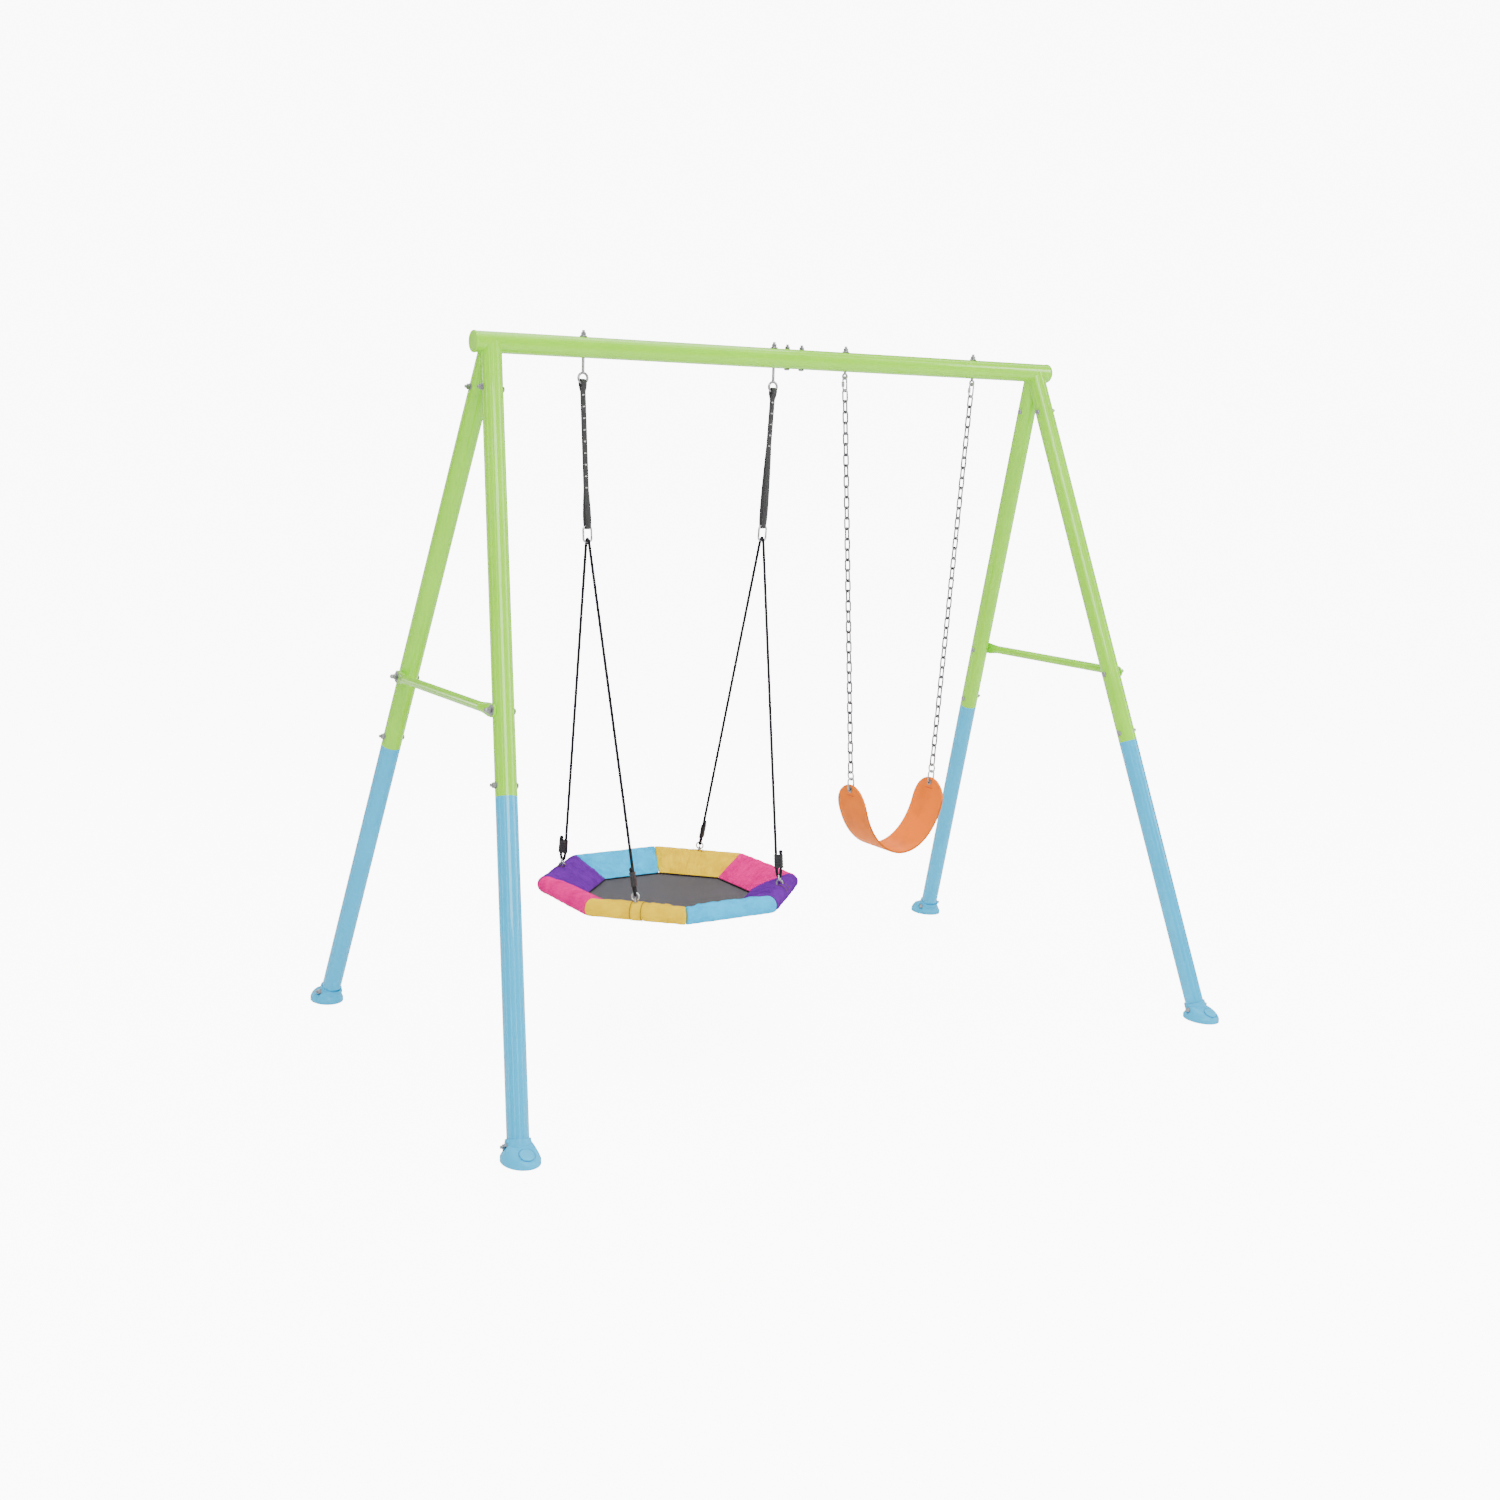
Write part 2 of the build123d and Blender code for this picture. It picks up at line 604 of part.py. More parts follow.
def rope_top(side, end):
    """Corner of the rope's route over the carabiner, on this strand's side."""
    plane = hanger_plane(side)
    reach = CLIP_WIRE + ROPE_PLAY + ROPE_R
    return place(plane, 0, CLIP_BOTTOM + reach) + Y * ENDS[end] * (reach * TOP_SHARE)


def ring_frame(side, end):
    """At the rim tube's centre: z up the rope, x along the rim, y outward."""
    angle = math.radians(rim_angle(side, end))
    outward = Vector(math.cos(angle), math.sin(angle), 0)
    tangent = Vector(-math.sin(angle), math.cos(angle), 0)
    origin = Vector(SAUCER_X, 0, RIM_Z) + outward * RIM_APOTHEM
    target = rope_top(side, end)
    up = (target - origin).normalized()
    for _ in range(6):
        across = off_axis(tangent, up)
        strand = up.cross(across) * (ROPE_PITCH / 2)
        up = (target - origin - strand).normalized()
    return Plane(origin=origin, x_dir=off_axis(tangent, up), z_dir=up)


RING_CENTRE = STAPLE_CENTRE + STAPLE_R - STAPLE_WIRE - GAP - RING_WIRE + RING_R
TURN_LOW = RING_CENTRE + RING_R - RING_WIRE - GAP - ROPE_R
ADJ_TOP = RING_CENTRE + ADJ_LOW + ADJ_H


def rope_end_points(side, end):
    """The strand's route from its free end, round the ring, to where it turns up."""
    frame = ring_frame(side, end)
    half = ROPE_PITCH / 2
    return [place(frame, 0, -half, ADJ_TOP + KNOT_UP), place(frame, 0, -half, TURN_LOW),
            place(frame, 0, half, TURN_LOW)]


def rope_route(side):
    return (rope_end_points(side, "front") + [rope_top(side, "front"), rope_top(side, "back")]
            + rope_end_points(side, "back")[::-1])


def make_rope(side):
    route = rope_route(side)
    over = CLIP_WIRE + ROPE_PLAY + ROPE_R
    path = FilletPolyline(*route, radius=[ROPE_TURN, ROPE_TURN, over, over, ROPE_TURN, ROPE_TURN])
    rope = sweep(Plane(origin=route[0], z_dir=route[1] - route[0]) * Circle(ROPE_R), path=path)
    print(f"rope_{side} length {path.length:.0f} volume ratio",
          round(rope.volume / (path.length * math.pi * ROPE_R ** 2), 4))
    return rope


def make_adjuster(frame):
    """Ribbed block with a bore for each strand."""
    low = RING_CENTRE + ADJ_LOW
    block = extrude(frame.offset(low) * RectangleRounded(ADJ_T, ADJ_W, ADJ_ROUND), ADJ_H)
    deep = ADJ_GROOVE_DEEP
    waist = RectangleRounded(ADJ_T - 2 * deep, ADJ_W - 2 * deep, ADJ_ROUND - deep)
    groove = Rectangle(2 * ADJ_T, 2 * ADJ_W) - waist
    for number in range(ADJ_GROOVES):
        level = low + ADJ_H * (number + 1) / (ADJ_GROOVES + 1) - ADJ_GROOVE_H / 2
        block -= extrude(frame.offset(level) * groove, ADJ_GROOVE_H)
    for v in (-ROPE_PITCH / 2, ROPE_PITCH / 2):
        block -= bar(place(frame, 0, v, 0), place(frame, 0, v, ADJ_TOP + ADJ_H), ROPE_R + GAP)
    return block


adjusters, knots, rim_rings = [], [], []
for side in SIDES:
    parts[f"rope_{side}"] = make_rope(side)
    for end in ENDS:
        frame = ring_frame(side, end)
        adjusters.append(make_adjuster(frame))
        knot_low = place(frame, 0, -ROPE_PITCH / 2, ADJ_TOP + KNOT_UP)
        knot = bar(knot_low, knot_low + frame.z_dir * 2 * KNOT_R, KNOT_R)
        knots.append(fillet(knot.edges().filter_by(GeomType.CIRCLE), KNOT_ROUND))
        rim_rings.append(ring(Plane(origin=place(frame, 0, 0, RING_CENTRE), x_dir=frame.x_dir,
                                    z_dir=frame.y_dir), RING_R, RING_WIRE))
parts["rope_adjusters"] = group(adjusters)
parts["rope_knots"] = group(knots)
parts["rim_rings"] = group(rim_rings)


# ---------------------------------------------------------------- saucer rim
CENTRE = Vector(SAUCER_X, 0, RIM_Z)
MITRE = math.radians(22.5)       # half the turn at each corner of the octagon


def rim_corner(angle):
    reach = RIM_APOTHEM / math.cos(MITRE)
    return CENTRE + Vector(math.cos(math.radians(angle)), math.sin(math.radians(angle)), 0) * reach


def half_rim(sign, radius, split):
    """Half the octagonal rim, from mid front to mid back, on one side."""
    angles = [-67.5, -22.5, 22.5, 67.5]
    if sign < 0:
        angles = [180 - angle for angle in angles]
    start = CENTRE + Vector(sign * split, -RIM_APOTHEM, 0)
    stop = CENTRE + Vector(sign * split, RIM_APOTHEM, 0)
    path = FilletPolyline(start, *[rim_corner(angle) for angle in angles], stop, radius=RIM_BEND)
    return sweep(Plane(origin=start, z_dir=X * sign) * Circle(radius), path=path)


def staple(side, end):
    frame = ring_frame(side, end)
    arch = ring(Plane(origin=place(frame, 0, 0, STAPLE_CENTRE), x_dir=frame.y_dir, z_dir=frame.x_dir),
                STAPLE_R, STAPLE_WIRE)
    upper = Pos(0, 0, STAPLE_CENTRE) * Box(*[2 * STAPLE_CENTRE] * 3)
    arch &= frame.offset(STAPLE_CENTRE) * upper
    for v in (-STAPLE_R, STAPLE_R):
        arch += bar(place(frame, 0, v, RIM_R - STAPLE_SINK), place(frame, 0, v, STAPLE_CENTRE), STAPLE_WIRE)
    return arch


for side, sign in SIDES.items():
    rim = half_rim(sign, RIM_R, RIM_SPLIT)
    for end in ENDS:
        rim += staple(side, end)
    parts[f"rim_tube_{side}"] = rim - half_rim(sign, RIM_R - RIM_WALL, RIM_SPLIT)

inner = RIM_R - RIM_WALL - FIT
parts["rim_connectors"] = group([
    bar(CENTRE + Vector(-RIM_JOIN, y, 0), CENTRE + Vector(RIM_JOIN, y, 0), inner, inner - RIM_WALL)
    for y in (-RIM_APOTHEM, RIM_APOTHEM)])

RIM_CLEARANCE = half_rim(-1, PAD_BORE, 0) + half_rim(1, PAD_BORE, 0)


def make_pad(angle):
    """Padded sleeve round one side of the rim, with its flap down to the mat."""
    turn = math.radians(angle)
    outward = Vector(math.cos(turn), math.sin(turn), 0)
    tangent = Vector(-math.sin(turn), math.cos(turn), 0)
    section = Plane(origin=CENTRE, x_dir=outward, z_dir=tangent)
    profile = Pos(RIM_APOTHEM, 0) * Circle(PAD_THICK)
    up = section.y_dir.dot(Z)
    flap = [(FLAP_IN, -FLAP_FALL * up), (RIM_APOTHEM - PAD_THICK / 2, FLAP_START * up),
            (RIM_APOTHEM - PAD_THICK / 2, (FLAP_START - FLAP_T) * up),
            (FLAP_IN, -(FLAP_FALL + FLAP_T) * up)]
    profile += make_face(Polyline(*flap, close=True))
    half = PAD_REACH * math.tan(MITRE)
    sleeve_pad = extrude(section * profile, half, both=True)
    shift = PAD_GAP / math.sin(MITRE)
    triangle = Polyline((shift, 0), (PAD_REACH + shift, -half), (PAD_REACH + shift, half), close=True)
    sector = Plane(origin=CENTRE, x_dir=outward, z_dir=Z) * make_face(triangle)
    return (sleeve_pad & extrude(sector, RIM_APOTHEM, both=True)) - RIM_CLEARANCE


PAD_COLOURS = {
    "pads_purple": (135, -45),
    "pads_pink": (180, 0),
    "pads_yellow": (-135, 45),
    "pads_light_blue": (-90, 90),
}
slots = []
for side, end in CORNERS:
    frame = ring_frame(side, end)
    opening = RectangleRounded(SLOT_T, SLOT_L, SLOT_ROUND)
    slots.append(extrude(frame.offset(RIM_R - SLOT_DEEP) * opening, SLOT_H))
for name, angles in PAD_COLOURS.items():
    sleeves = [make_pad(angle) for angle in angles]
    if name in ("pads_purple", "pads_yellow"):
        for slot in slots:
            sleeves = [pad - slot for pad in sleeves]
    parts[name] = group(sleeves)

mat_top = CENTRE - Z * (FLAP_FALL + FLAP_T + MAT_GAP + MAT_T)
mat_shape = RegularPolygon(FLAP_IN + MAT_UNDER, 8, major_radius=False, rotation=22.5)
parts["mat"] = extrude(Plane(origin=mat_top) * mat_shape, MAT_T)

# ---------------------------------------------------------------- belt swing
BELT_PIVOT_Z = BEAM_Z - BELT_EYE_DROP - BELT_EYE_R
quick_top = -BELT_EYE_WIRE - GAP                 # inside of the quick link, below the pivot
chain_top = quick_top + QUICK_IN - GAP
chain_low = chain_top + LINKS * LINK_IN - (LINKS - 1) * GAP
SEAT_PIVOT = chain_low + LINK_WIRE
ring_top = chain_low - GAP
hook_top = ring_top + 2 * (END_RING_R - LINK_WIRE) - GAP
HOLE_DOWN = hook_top + HOOK_IN + LINK_WIRE
CHAIN_LEAN = math.asin((BELT_EYES - BELT_HALF) / HOLE_DOWN)
BELT_TOP_Z = BELT_PIVOT_Z - HOLE_DOWN * math.cos(CHAIN_LEAN) + BELT_HOLE


def chain_plane(side, flat):
    """At the belt eye's lower wire: y down the chain; flat links lie along X, others along Y."""
    sign = SIDES[side]
    down = Vector(-sign * math.sin(CHAIN_LEAN), 0, -math.cos(CHAIN_LEAN))
    origin = Vector(BELT_X + sign * BELT_EYES, 0, BELT_PIVOT_Z)
    across = down.cross(Y) if flat else Y
    return Plane(origin=origin, x_dir=across, z_dir=across.cross(down))


def link(plane, inner_top, inner_length, inner_width, wire=LINK_WIRE):
    """Straight link whose inside starts inner_top below the plane's origin."""
    radius = inner_width / 2 + wire
    straight = inner_length + 2 * wire - 2 * radius
    top = inner_top - wire + radius
    loop = None
    for level, keep in ((top, -1), (top + straight, 1)):
        bend = Torus(radius, wire) & (Pos(0, keep * 2 * radius, 0) * Box(*[4 * radius] * 3))
        bend = plane * Pos(0, level, 0) * bend
        loop = bend if loop is None else loop + bend
    for u in (-radius, radius):
        loop += bar(place(plane, u, top), place(plane, u, top + straight), wire)
    return loop


quick_links, quick_sleeves, end_rings, hooks = [], [], [], []
for side in SIDES:
    along_x, along_y = chain_plane(side, True), chain_plane(side, False)
    quick = link(along_y, quick_top, QUICK_IN, QUICK_W)
    nut_top = quick_top + QUICK_IN / 2 - SLEEVE_L / 2
    reach = QUICK_W / 2 + LINK_WIRE
    quick_links.append(quick)
    quick_sleeves.append(bar(place(along_y, reach, nut_top), place(along_y, reach, nut_top + SLEEVE_L),
                             SLEEVE_R, SLEEVE_BORE))
    flat_link = link(along_x, chain_top, LINK_IN, LINK_W)
    edge_link = link(along_y, chain_top, LINK_IN, LINK_W)
    links = []
    for number in range(LINKS):
        shift = along_x.y_dir * number * (LINK_IN - GAP)
        model = edge_link if number % 2 else flat_link
        links.append(Pos(*shift) * model)
    parts[f"chain_{side}"] = group(links)
    end_rings.append(ring(Plane(origin=place(along_y, 0, ring_top + END_RING_R - LINK_WIRE),
                                z_dir=along_y.z_dir), END_RING_R, LINK_WIRE))
    hooks.append(link(along_x, hook_top, HOOK_IN, HOOK_W))
parts["quick_links"] = group(quick_links)
parts["quick_link_sleeves"] = group(quick_sleeves)
parts["belt_end_rings"] = group(end_rings)
parts["belt_hooks"] = group(hooks)


def half_ellipse(grow):
    wide, deep = BELT_HALF + grow, BELT_DEPTH + grow
    return Ellipse(wide, deep) & (Pos(0, -deep) * Rectangle(3 * wide, 2 * deep))


seat_plane = Plane(origin=(BELT_X, BELT_W / 2, BELT_TOP_Z), x_dir=X, z_dir=Y * -1)
seat = extrude(seat_plane * (half_ellipse(BELT_T / 2) - half_ellipse(-BELT_T / 2)), BELT_W)
across = X * 2 * BELT_HALF
end_centre = Vector(BELT_X, 0, BELT_TOP_Z - BELT_W / 2)
end_round = bar(end_centre - across, end_centre + across, BELT_W / 2)
lower_part = Box(4 * BELT_HALF, 2 * BELT_W, 2 * BELT_DEPTH, align=(Align.CENTER, Align.CENTER, Align.MAX))
seat &= end_round + Pos(*end_centre) * lower_part
hole_line = Vector(BELT_X, 0, BELT_TOP_Z - BELT_HOLE)
seat -= bar(hole_line - across, hole_line + across, EYELET_R + EYELET_WALL + EYELET_FIT)
parts["belt_seat"] = seat

eyelets = []
for sign in SIDES.values():
    spot = hole_line + X * sign * BELT_HALF * math.sqrt(1 - (BELT_HOLE / BELT_DEPTH) ** 2)
    half = BELT_T / 2 + EYELET_GAP
    eyelet = bar(spot - X * half, spot + X * half, EYELET_R + EYELET_WALL, EYELET_R)
    for way in (X, X * -1):
        eyelet += bar(spot + way * half, spot + way * (half + EYELET_PLATE), EYELET_FLANGE, EYELET_R)
    eyelets.append(eyelet)
parts["belt_eyelets"] = group(eyelets)

# ---------------------------------------------------------------- write
os.makedirs("parts", exist_ok=True)
for name, shape in parts.items():
    export_step(shape, f"parts/{name}.step")
print("nodes", len(parts))
print("saucer pivot z", round(SAUCER_PIVOT_Z, 3), "lean", round(math.degrees(LEAN), 3))
for side in SIDES:
    hanger = hanger_plane(side)
    print(side, "seat pivot", place(hanger, 0, CLIP_BOTTOM), "gate pin",
          place(hanger, CLIP_W / 2, CLIP_TOP - GATE_PIN))
    print(side, "rope route", [tuple(round(c, 1) for c in point) for point in rope_route(side)])
print("belt pivot z", round(BELT_PIVOT_Z, 3), "belt seat pivot z",
      round(BELT_PIVOT_Z - SEAT_PIVOT * math.cos(CHAIN_LEAN), 3), "belt top z", round(BELT_TOP_Z, 2))
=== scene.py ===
import bmesh
import bpy
import json
import math
import numpy as np
from mathutils import Matrix, Vector, noise


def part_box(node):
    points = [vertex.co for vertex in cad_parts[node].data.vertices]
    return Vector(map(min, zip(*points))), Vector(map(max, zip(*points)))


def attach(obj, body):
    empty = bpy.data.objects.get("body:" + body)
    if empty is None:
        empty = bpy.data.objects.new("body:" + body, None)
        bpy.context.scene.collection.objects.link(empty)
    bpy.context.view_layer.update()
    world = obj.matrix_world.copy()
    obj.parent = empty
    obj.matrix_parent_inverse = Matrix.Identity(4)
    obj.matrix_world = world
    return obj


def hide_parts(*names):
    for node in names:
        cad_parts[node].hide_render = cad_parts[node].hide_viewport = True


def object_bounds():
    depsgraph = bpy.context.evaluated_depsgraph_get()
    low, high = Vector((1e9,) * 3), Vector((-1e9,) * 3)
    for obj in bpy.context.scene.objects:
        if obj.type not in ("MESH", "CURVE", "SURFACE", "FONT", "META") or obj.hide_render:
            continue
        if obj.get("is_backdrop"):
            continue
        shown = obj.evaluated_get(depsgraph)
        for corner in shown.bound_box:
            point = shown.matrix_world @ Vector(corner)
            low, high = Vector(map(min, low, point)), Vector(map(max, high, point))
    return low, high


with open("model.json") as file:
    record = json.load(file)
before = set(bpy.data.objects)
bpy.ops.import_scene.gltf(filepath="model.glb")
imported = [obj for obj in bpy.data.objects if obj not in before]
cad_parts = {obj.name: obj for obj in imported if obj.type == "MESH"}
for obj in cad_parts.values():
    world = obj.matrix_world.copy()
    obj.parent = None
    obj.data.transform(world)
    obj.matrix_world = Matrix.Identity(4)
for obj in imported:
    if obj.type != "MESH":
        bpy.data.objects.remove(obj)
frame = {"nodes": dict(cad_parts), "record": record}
CAD_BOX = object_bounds()
MM = 0.001
WHITE_OUT = 9.0          # how bright the studio behind the object looks


# ------------------------------------------------------------------ small tools
def middle(node):
    low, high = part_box(node)
    return (low + high) / 2


def mesh_piece(name, points, faces, material):
    """A smooth mesh object from plain points and faces."""
    mesh = bpy.data.meshes.new(name)
    mesh.from_pydata([tuple(p) for p in points], [], faces)
    mesh.validate()
    work = bmesh.new()
    work.from_mesh(mesh)
    bmesh.ops.recalc_face_normals(work, faces=work.faces)
    work.to_mesh(mesh)
    work.free()
    mesh.polygons.foreach_set("use_smooth", [True] * len(mesh.polygons))
    piece = bpy.data.objects.new(name, mesh)
    bpy.context.scene.collection.objects.link(piece)
    mesh.materials.append(material)
    return piece


def points_of(piece):
    found = np.zeros(len(piece.data.vertices) * 3)
    piece.data.vertices.foreach_get("co", found)
    return found.reshape(-1, 3)


def move_points(piece, places):
    piece.data.vertices.foreach_set("co", np.asarray(places, float).ravel())
    piece.data.update()


def apply_modifiers(piece):
    graph = bpy.context.evaluated_depsgraph_get()
    made = bpy.data.meshes.new_from_object(piece.evaluated_get(graph))
    piece.modifiers.clear()
    old = piece.data
    piece.data = made
    bpy.data.meshes.remove(old)
    made.polygons.foreach_set("use_smooth", [True] * len(made.polygons))
    return piece


def grid_faces(rows, columns, wrap_rows=False, wrap_columns=True):
    """Quads of a grid whose point (i, j) is number i * columns + j."""
    faces = []
    for i in range(rows if wrap_rows else rows - 1):
        for j in range(columns if wrap_columns else columns - 1):
            a, b = i, (i + 1) % rows
            c, d = j, (j + 1) % columns
            faces.append((a * columns + c, b * columns + c, b * columns + d, a * columns + d))
    return faces


def sweep(name, line, section, material, closed=False, side=None):
    """A solid whose section(i, share) gives (across, up) pairs at each point of the line.
    side is the fixed direction that "across" keeps to; without it the section doesn't twist."""
    line = [Vector(p) for p in line]
    count = len(line)
    points, across = [], side
    share, lengths = 0.0, [0.0]
    for a, b in zip(line, line[1:]):
        share += (b - a).length
        lengths.append(share)
    for i, place in enumerate(line):
        before = line[i - 1] if closed or i else line[i]
        after = line[(i + 1) % count] if closed or i < count - 1 else line[i]
        way = (after - before).normalized()
        if across is None:
            across = way.orthogonal()
        across = (across - way * across.dot(way)).normalized()
        up = way.cross(across)
        for u, v in section(i, lengths[i]):
            points.append(place + across * u + up * v)
        if side is not None:
            across = side
    columns = len(points) // count
    faces = grid_faces(count, columns, wrap_rows=closed)
    if not closed:
        faces.append(tuple(reversed(range(columns))))
        faces.append(tuple(range((count - 1) * columns, count * columns)))
    return mesh_piece(name, points, faces, material)


# ------------------------------------------------------------------ materials
class Nodes:
    """A material's node tree, with short ways to add and join nodes."""

    def __init__(self, name):
        self.material = bpy.data.materials.new(name)
        self.material.use_nodes = True
        self.tree = self.material.node_tree
        self.shader = self.tree.nodes["Principled BSDF"]
        self.place = self.add("ShaderNodeTexCoord").outputs["Object"]

    def add(self, kind, **values):
        node = self.tree.nodes.new(kind)
        for key, value in values.items():
            setattr(node, key, value)
        return node

    def join(self, output, target):
        self.tree.links.new(output, target)
        return target

    def noise(self, scale, detail=3.0, vector=None, distortion=0.0):
        node = self.add("ShaderNodeTexNoise")
        self.join(vector or self.place, node.inputs["Vector"])
        node.inputs["Scale"].default_value = scale
        node.inputs["Detail"].default_value = detail
        node.inputs["Distortion"].default_value = distortion
        return node.outputs["Fac"]

    def wave(self, scale, direction, vector=None, distortion=0.0):
        node = self.add("ShaderNodeTexWave", bands_direction=direction)
        self.join(vector or self.place, node.inputs["Vector"])
        node.inputs["Scale"].default_value = scale
        node.inputs["Distortion"].default_value = distortion
        return node.outputs["Fac"]

    def cells(self, scale, vector=None, feature="F1"):
        node = self.add("ShaderNodeTexVoronoi", feature=feature)
        self.join(vector or self.place, node.inputs["Vector"])
        node.inputs["Scale"].default_value = scale
        return node

    def ramp(self, value, low, high, at=(0.3, 0.7)):
        """A colour or grey that goes from low to high as value goes across at."""
        node = self.add("ShaderNodeValToRGB")
        self.join(value, node.inputs["Fac"])
        for stop, place, colour in zip(node.color_ramp.elements, at, (low, high)):
            stop.position = place
            stop.color = (*colour, 1) if hasattr(colour, "__len__") else (colour,) * 3 + (1,)
        return node.outputs["Color"]

    def math(self, operation, a, b):
        node = self.add("ShaderNodeMath", operation=operation)
        for value, target in zip((a, b), node.inputs):
            if isinstance(value, (int, float)):
                target.default_value = value
            else:
                self.join(value, target)
        return node.outputs["Value"]

    def bump(self, height, strength, distance, normal=None):
        node = self.add("ShaderNodeBump")
        self.join(height, node.inputs["Height"])
        node.inputs["Strength"].default_value = strength
        node.inputs["Distance"].default_value = distance
        if normal is not None:
            self.join(normal, node.inputs["Normal"])
        return node.outputs["Normal"]

    def soft_edges(self, radius):
        node = self.add("ShaderNodeBevel", samples=4)
        node.inputs["Radius"].default_value = radius
        return node.outputs["Normal"]

    def put(self, **values):
        """Colour, roughness, normal and the shader's plain numbers."""
        for key, value in values.items():
            target = self.shader.inputs[key.replace("_", " ").title().replace("Ior", "IOR")]
            if isinstance(value, bpy.types.NodeSocket):
                self.join(value, target)
            elif hasattr(value, "__len__"):
                target.default_value = (*value, 1)
            else:
                target.default_value = value
        return self.material


def shade(colour, factor):
    return tuple(min(1.0, c * factor) for c in colour)


def powder_coat(name, colour):
    """Glossy powder coat: faint cloudiness and a fine orange peel."""
    m = Nodes(name)
    peel = m.noise(420.0, 2.0)
    return m.put(
        base_color=m.ramp(m.noise(6.0, 4.0), shade(colour, 0.94), shade(colour, 1.05)),
        roughness=m.ramp(m.noise(60.0), 0.2, 0.3),
        normal=m.bump(peel, 0.06, 0.3 * MM, m.soft_edges(0.8 * MM)),
        coat_weight=0.8, coat_roughness=0.05, specular_ior_level=0.15)


def moulded(name, colour, rough=0.42, grain=0.25):
    """Moulded plastic: fine spark-eroded grain and softened edges."""
    m = Nodes(name)
    tone = m.ramp(m.noise(18.0, 4.0), shade(colour, 0.93), shade(colour, 1.05))
    return m.put(
        base_color=tone,
        roughness=m.ramp(m.noise(140.0), rough - 0.05, rough + 0.08),
        normal=m.bump(m.noise(1400.0, 2.0), grain, 0.2 * MM, m.soft_edges(1.6 * MM)),
        specular_ior_level=0.45)


def metal(name, colour, low, high, spangle=0.0):
    """Plated steel: mottled tone and uneven polish."""
    m = Nodes(name)
    tone = m.noise(90.0, 4.0)
    if spangle:
        tone = m.math("ADD", m.math("MULTIPLY", m.cells(420.0).outputs["Distance"], spangle), tone)
    return m.put(
        base_color=m.ramp(tone, shade(colour, 0.8), shade(colour, 1.12)),
        roughness=m.ramp(m.noise(260.0, 3.0), low, high),
        normal=m.bump(m.noise(900.0, 2.0), 0.1, 0.1 * MM, m.soft_edges(0.5 * MM)),
        metallic=1.0)


def cloth(name, colour, threads=620.0, dark=0.78, sheen=0.0):
    """Woven polyester: crossed threads, cloudy tone and soft sheen."""
    m = Nodes(name)
    weave = m.math("MULTIPLY", m.wave(threads, "X"), m.wave(threads, "Y"))
    weave = m.math("MAXIMUM", weave, m.math("MULTIPLY", m.wave(threads, "Z"), m.wave(threads, "DIAGONAL")))
    cloud = m.noise(24.0, 5.0, distortion=0.6)
    tone = m.math("ADD", m.math("MULTIPLY", weave, 0.25), m.math("MULTIPLY", cloud, 0.75))
    crease = m.math("ADD", m.math("MULTIPLY", weave, 0.3), m.noise(95.0, 4.0, distortion=1.2))
    return m.put(
        base_color=m.ramp(tone, shade(colour, dark), shade(colour, 1.08), at=(0.28, 0.62)),
        roughness=m.ramp(cloud, 0.62, 0.8),
        normal=m.bump(crease, 0.45, 0.9 * MM),
        specular_ior_level=0.0, sheen_weight=sheen, sheen_roughness=0.4)


def mat_cloth(name, colour):
    """Tight grey trampoline mesh."""
    m = Nodes(name)
    mesh = m.math("MULTIPLY", m.wave(520.0, "X"), m.wave(520.0, "Y"))
    cloud = m.noise(9.0, 4.0)
    tone = m.math("ADD", m.math("MULTIPLY", mesh, 0.5), m.math("MULTIPLY", cloud, 0.5))
    return m.put(
        base_color=m.ramp(tone, shade(colour, 0.72), shade(colour, 1.15), at=(0.1, 0.8)),
        roughness=m.ramp(mesh, 0.8, 0.6), normal=m.bump(mesh, 0.6, 0.4 * MM),
        specular_ior_level=0.15)


def webbing(name, colour):
    """Nylon webbing: ribs across the strap and a herringbone of yarns."""
    m = Nodes(name)
    ribs = m.wave(300.0, "Z", distortion=0.5)
    yarns = m.math("MULTIPLY", ribs, m.wave(420.0, "DIAGONAL"))
    return m.put(
        base_color=m.ramp(yarns, shade(colour, 0.6), shade(colour, 2.6)),
        roughness=m.ramp(m.noise(300.0), 0.5, 0.7),
        normal=m.bump(yarns, 0.7, 0.5 * MM), sheen_weight=0.3)


def rubber(name, colour):
    """Flexible moulded seat: leather-like grain, slightly darker low patches, and painted shade on a thin
    band along the belt's side edges.
    """
    m = Nodes(name)
    grain = m.cells(700.0, feature="DISTANCE_TO_EDGE").outputs["Distance"]
    across = m.add("ShaderNodeSeparateXYZ")
    m.join(m.place, across.inputs["Vector"])
    # painted shade: a thin band along the belt's side edges, where |y| passes 70.5 mm, is darkened to stand
    # in for the shade on the belt's thickness
    edge = m.math("GREATER_THAN", m.math("ABSOLUTE", across.outputs["Y"], 0.0), 0.0705)
    tone = m.math("SUBTRACT", m.noise(14.0, 4.0), m.math("MULTIPLY", edge, 1.0))
    return m.put(
        base_color=m.ramp(tone, shade(colour, 0.62), shade(colour, 1.04), at=(0.0, 0.5)),
        roughness=m.ramp(m.noise(120.0), 0.42, 0.55),
        normal=m.bump(grain, 0.25, 0.3 * MM),
        specular_ior_level=0.1)


def floor_paper(name):
    """White studio paper, over-lit in the camera's eye only."""
    m = Nodes(name)
    seen = m.add("ShaderNodeLightPath").outputs["Is Camera Ray"]
    m.put(base_color=m.ramp(m.noise(3.0), (0.93, 0.93, 0.93), (0.95, 0.95, 0.95)),
          roughness=0.9, specular_ior_level=0.1,
          emission_color=(1.0, 1.0, 1.0))
    m.join(m.math("MULTIPLY", seen, WHITE_OUT), m.shader.inputs["Emission Strength"])
    return m.material


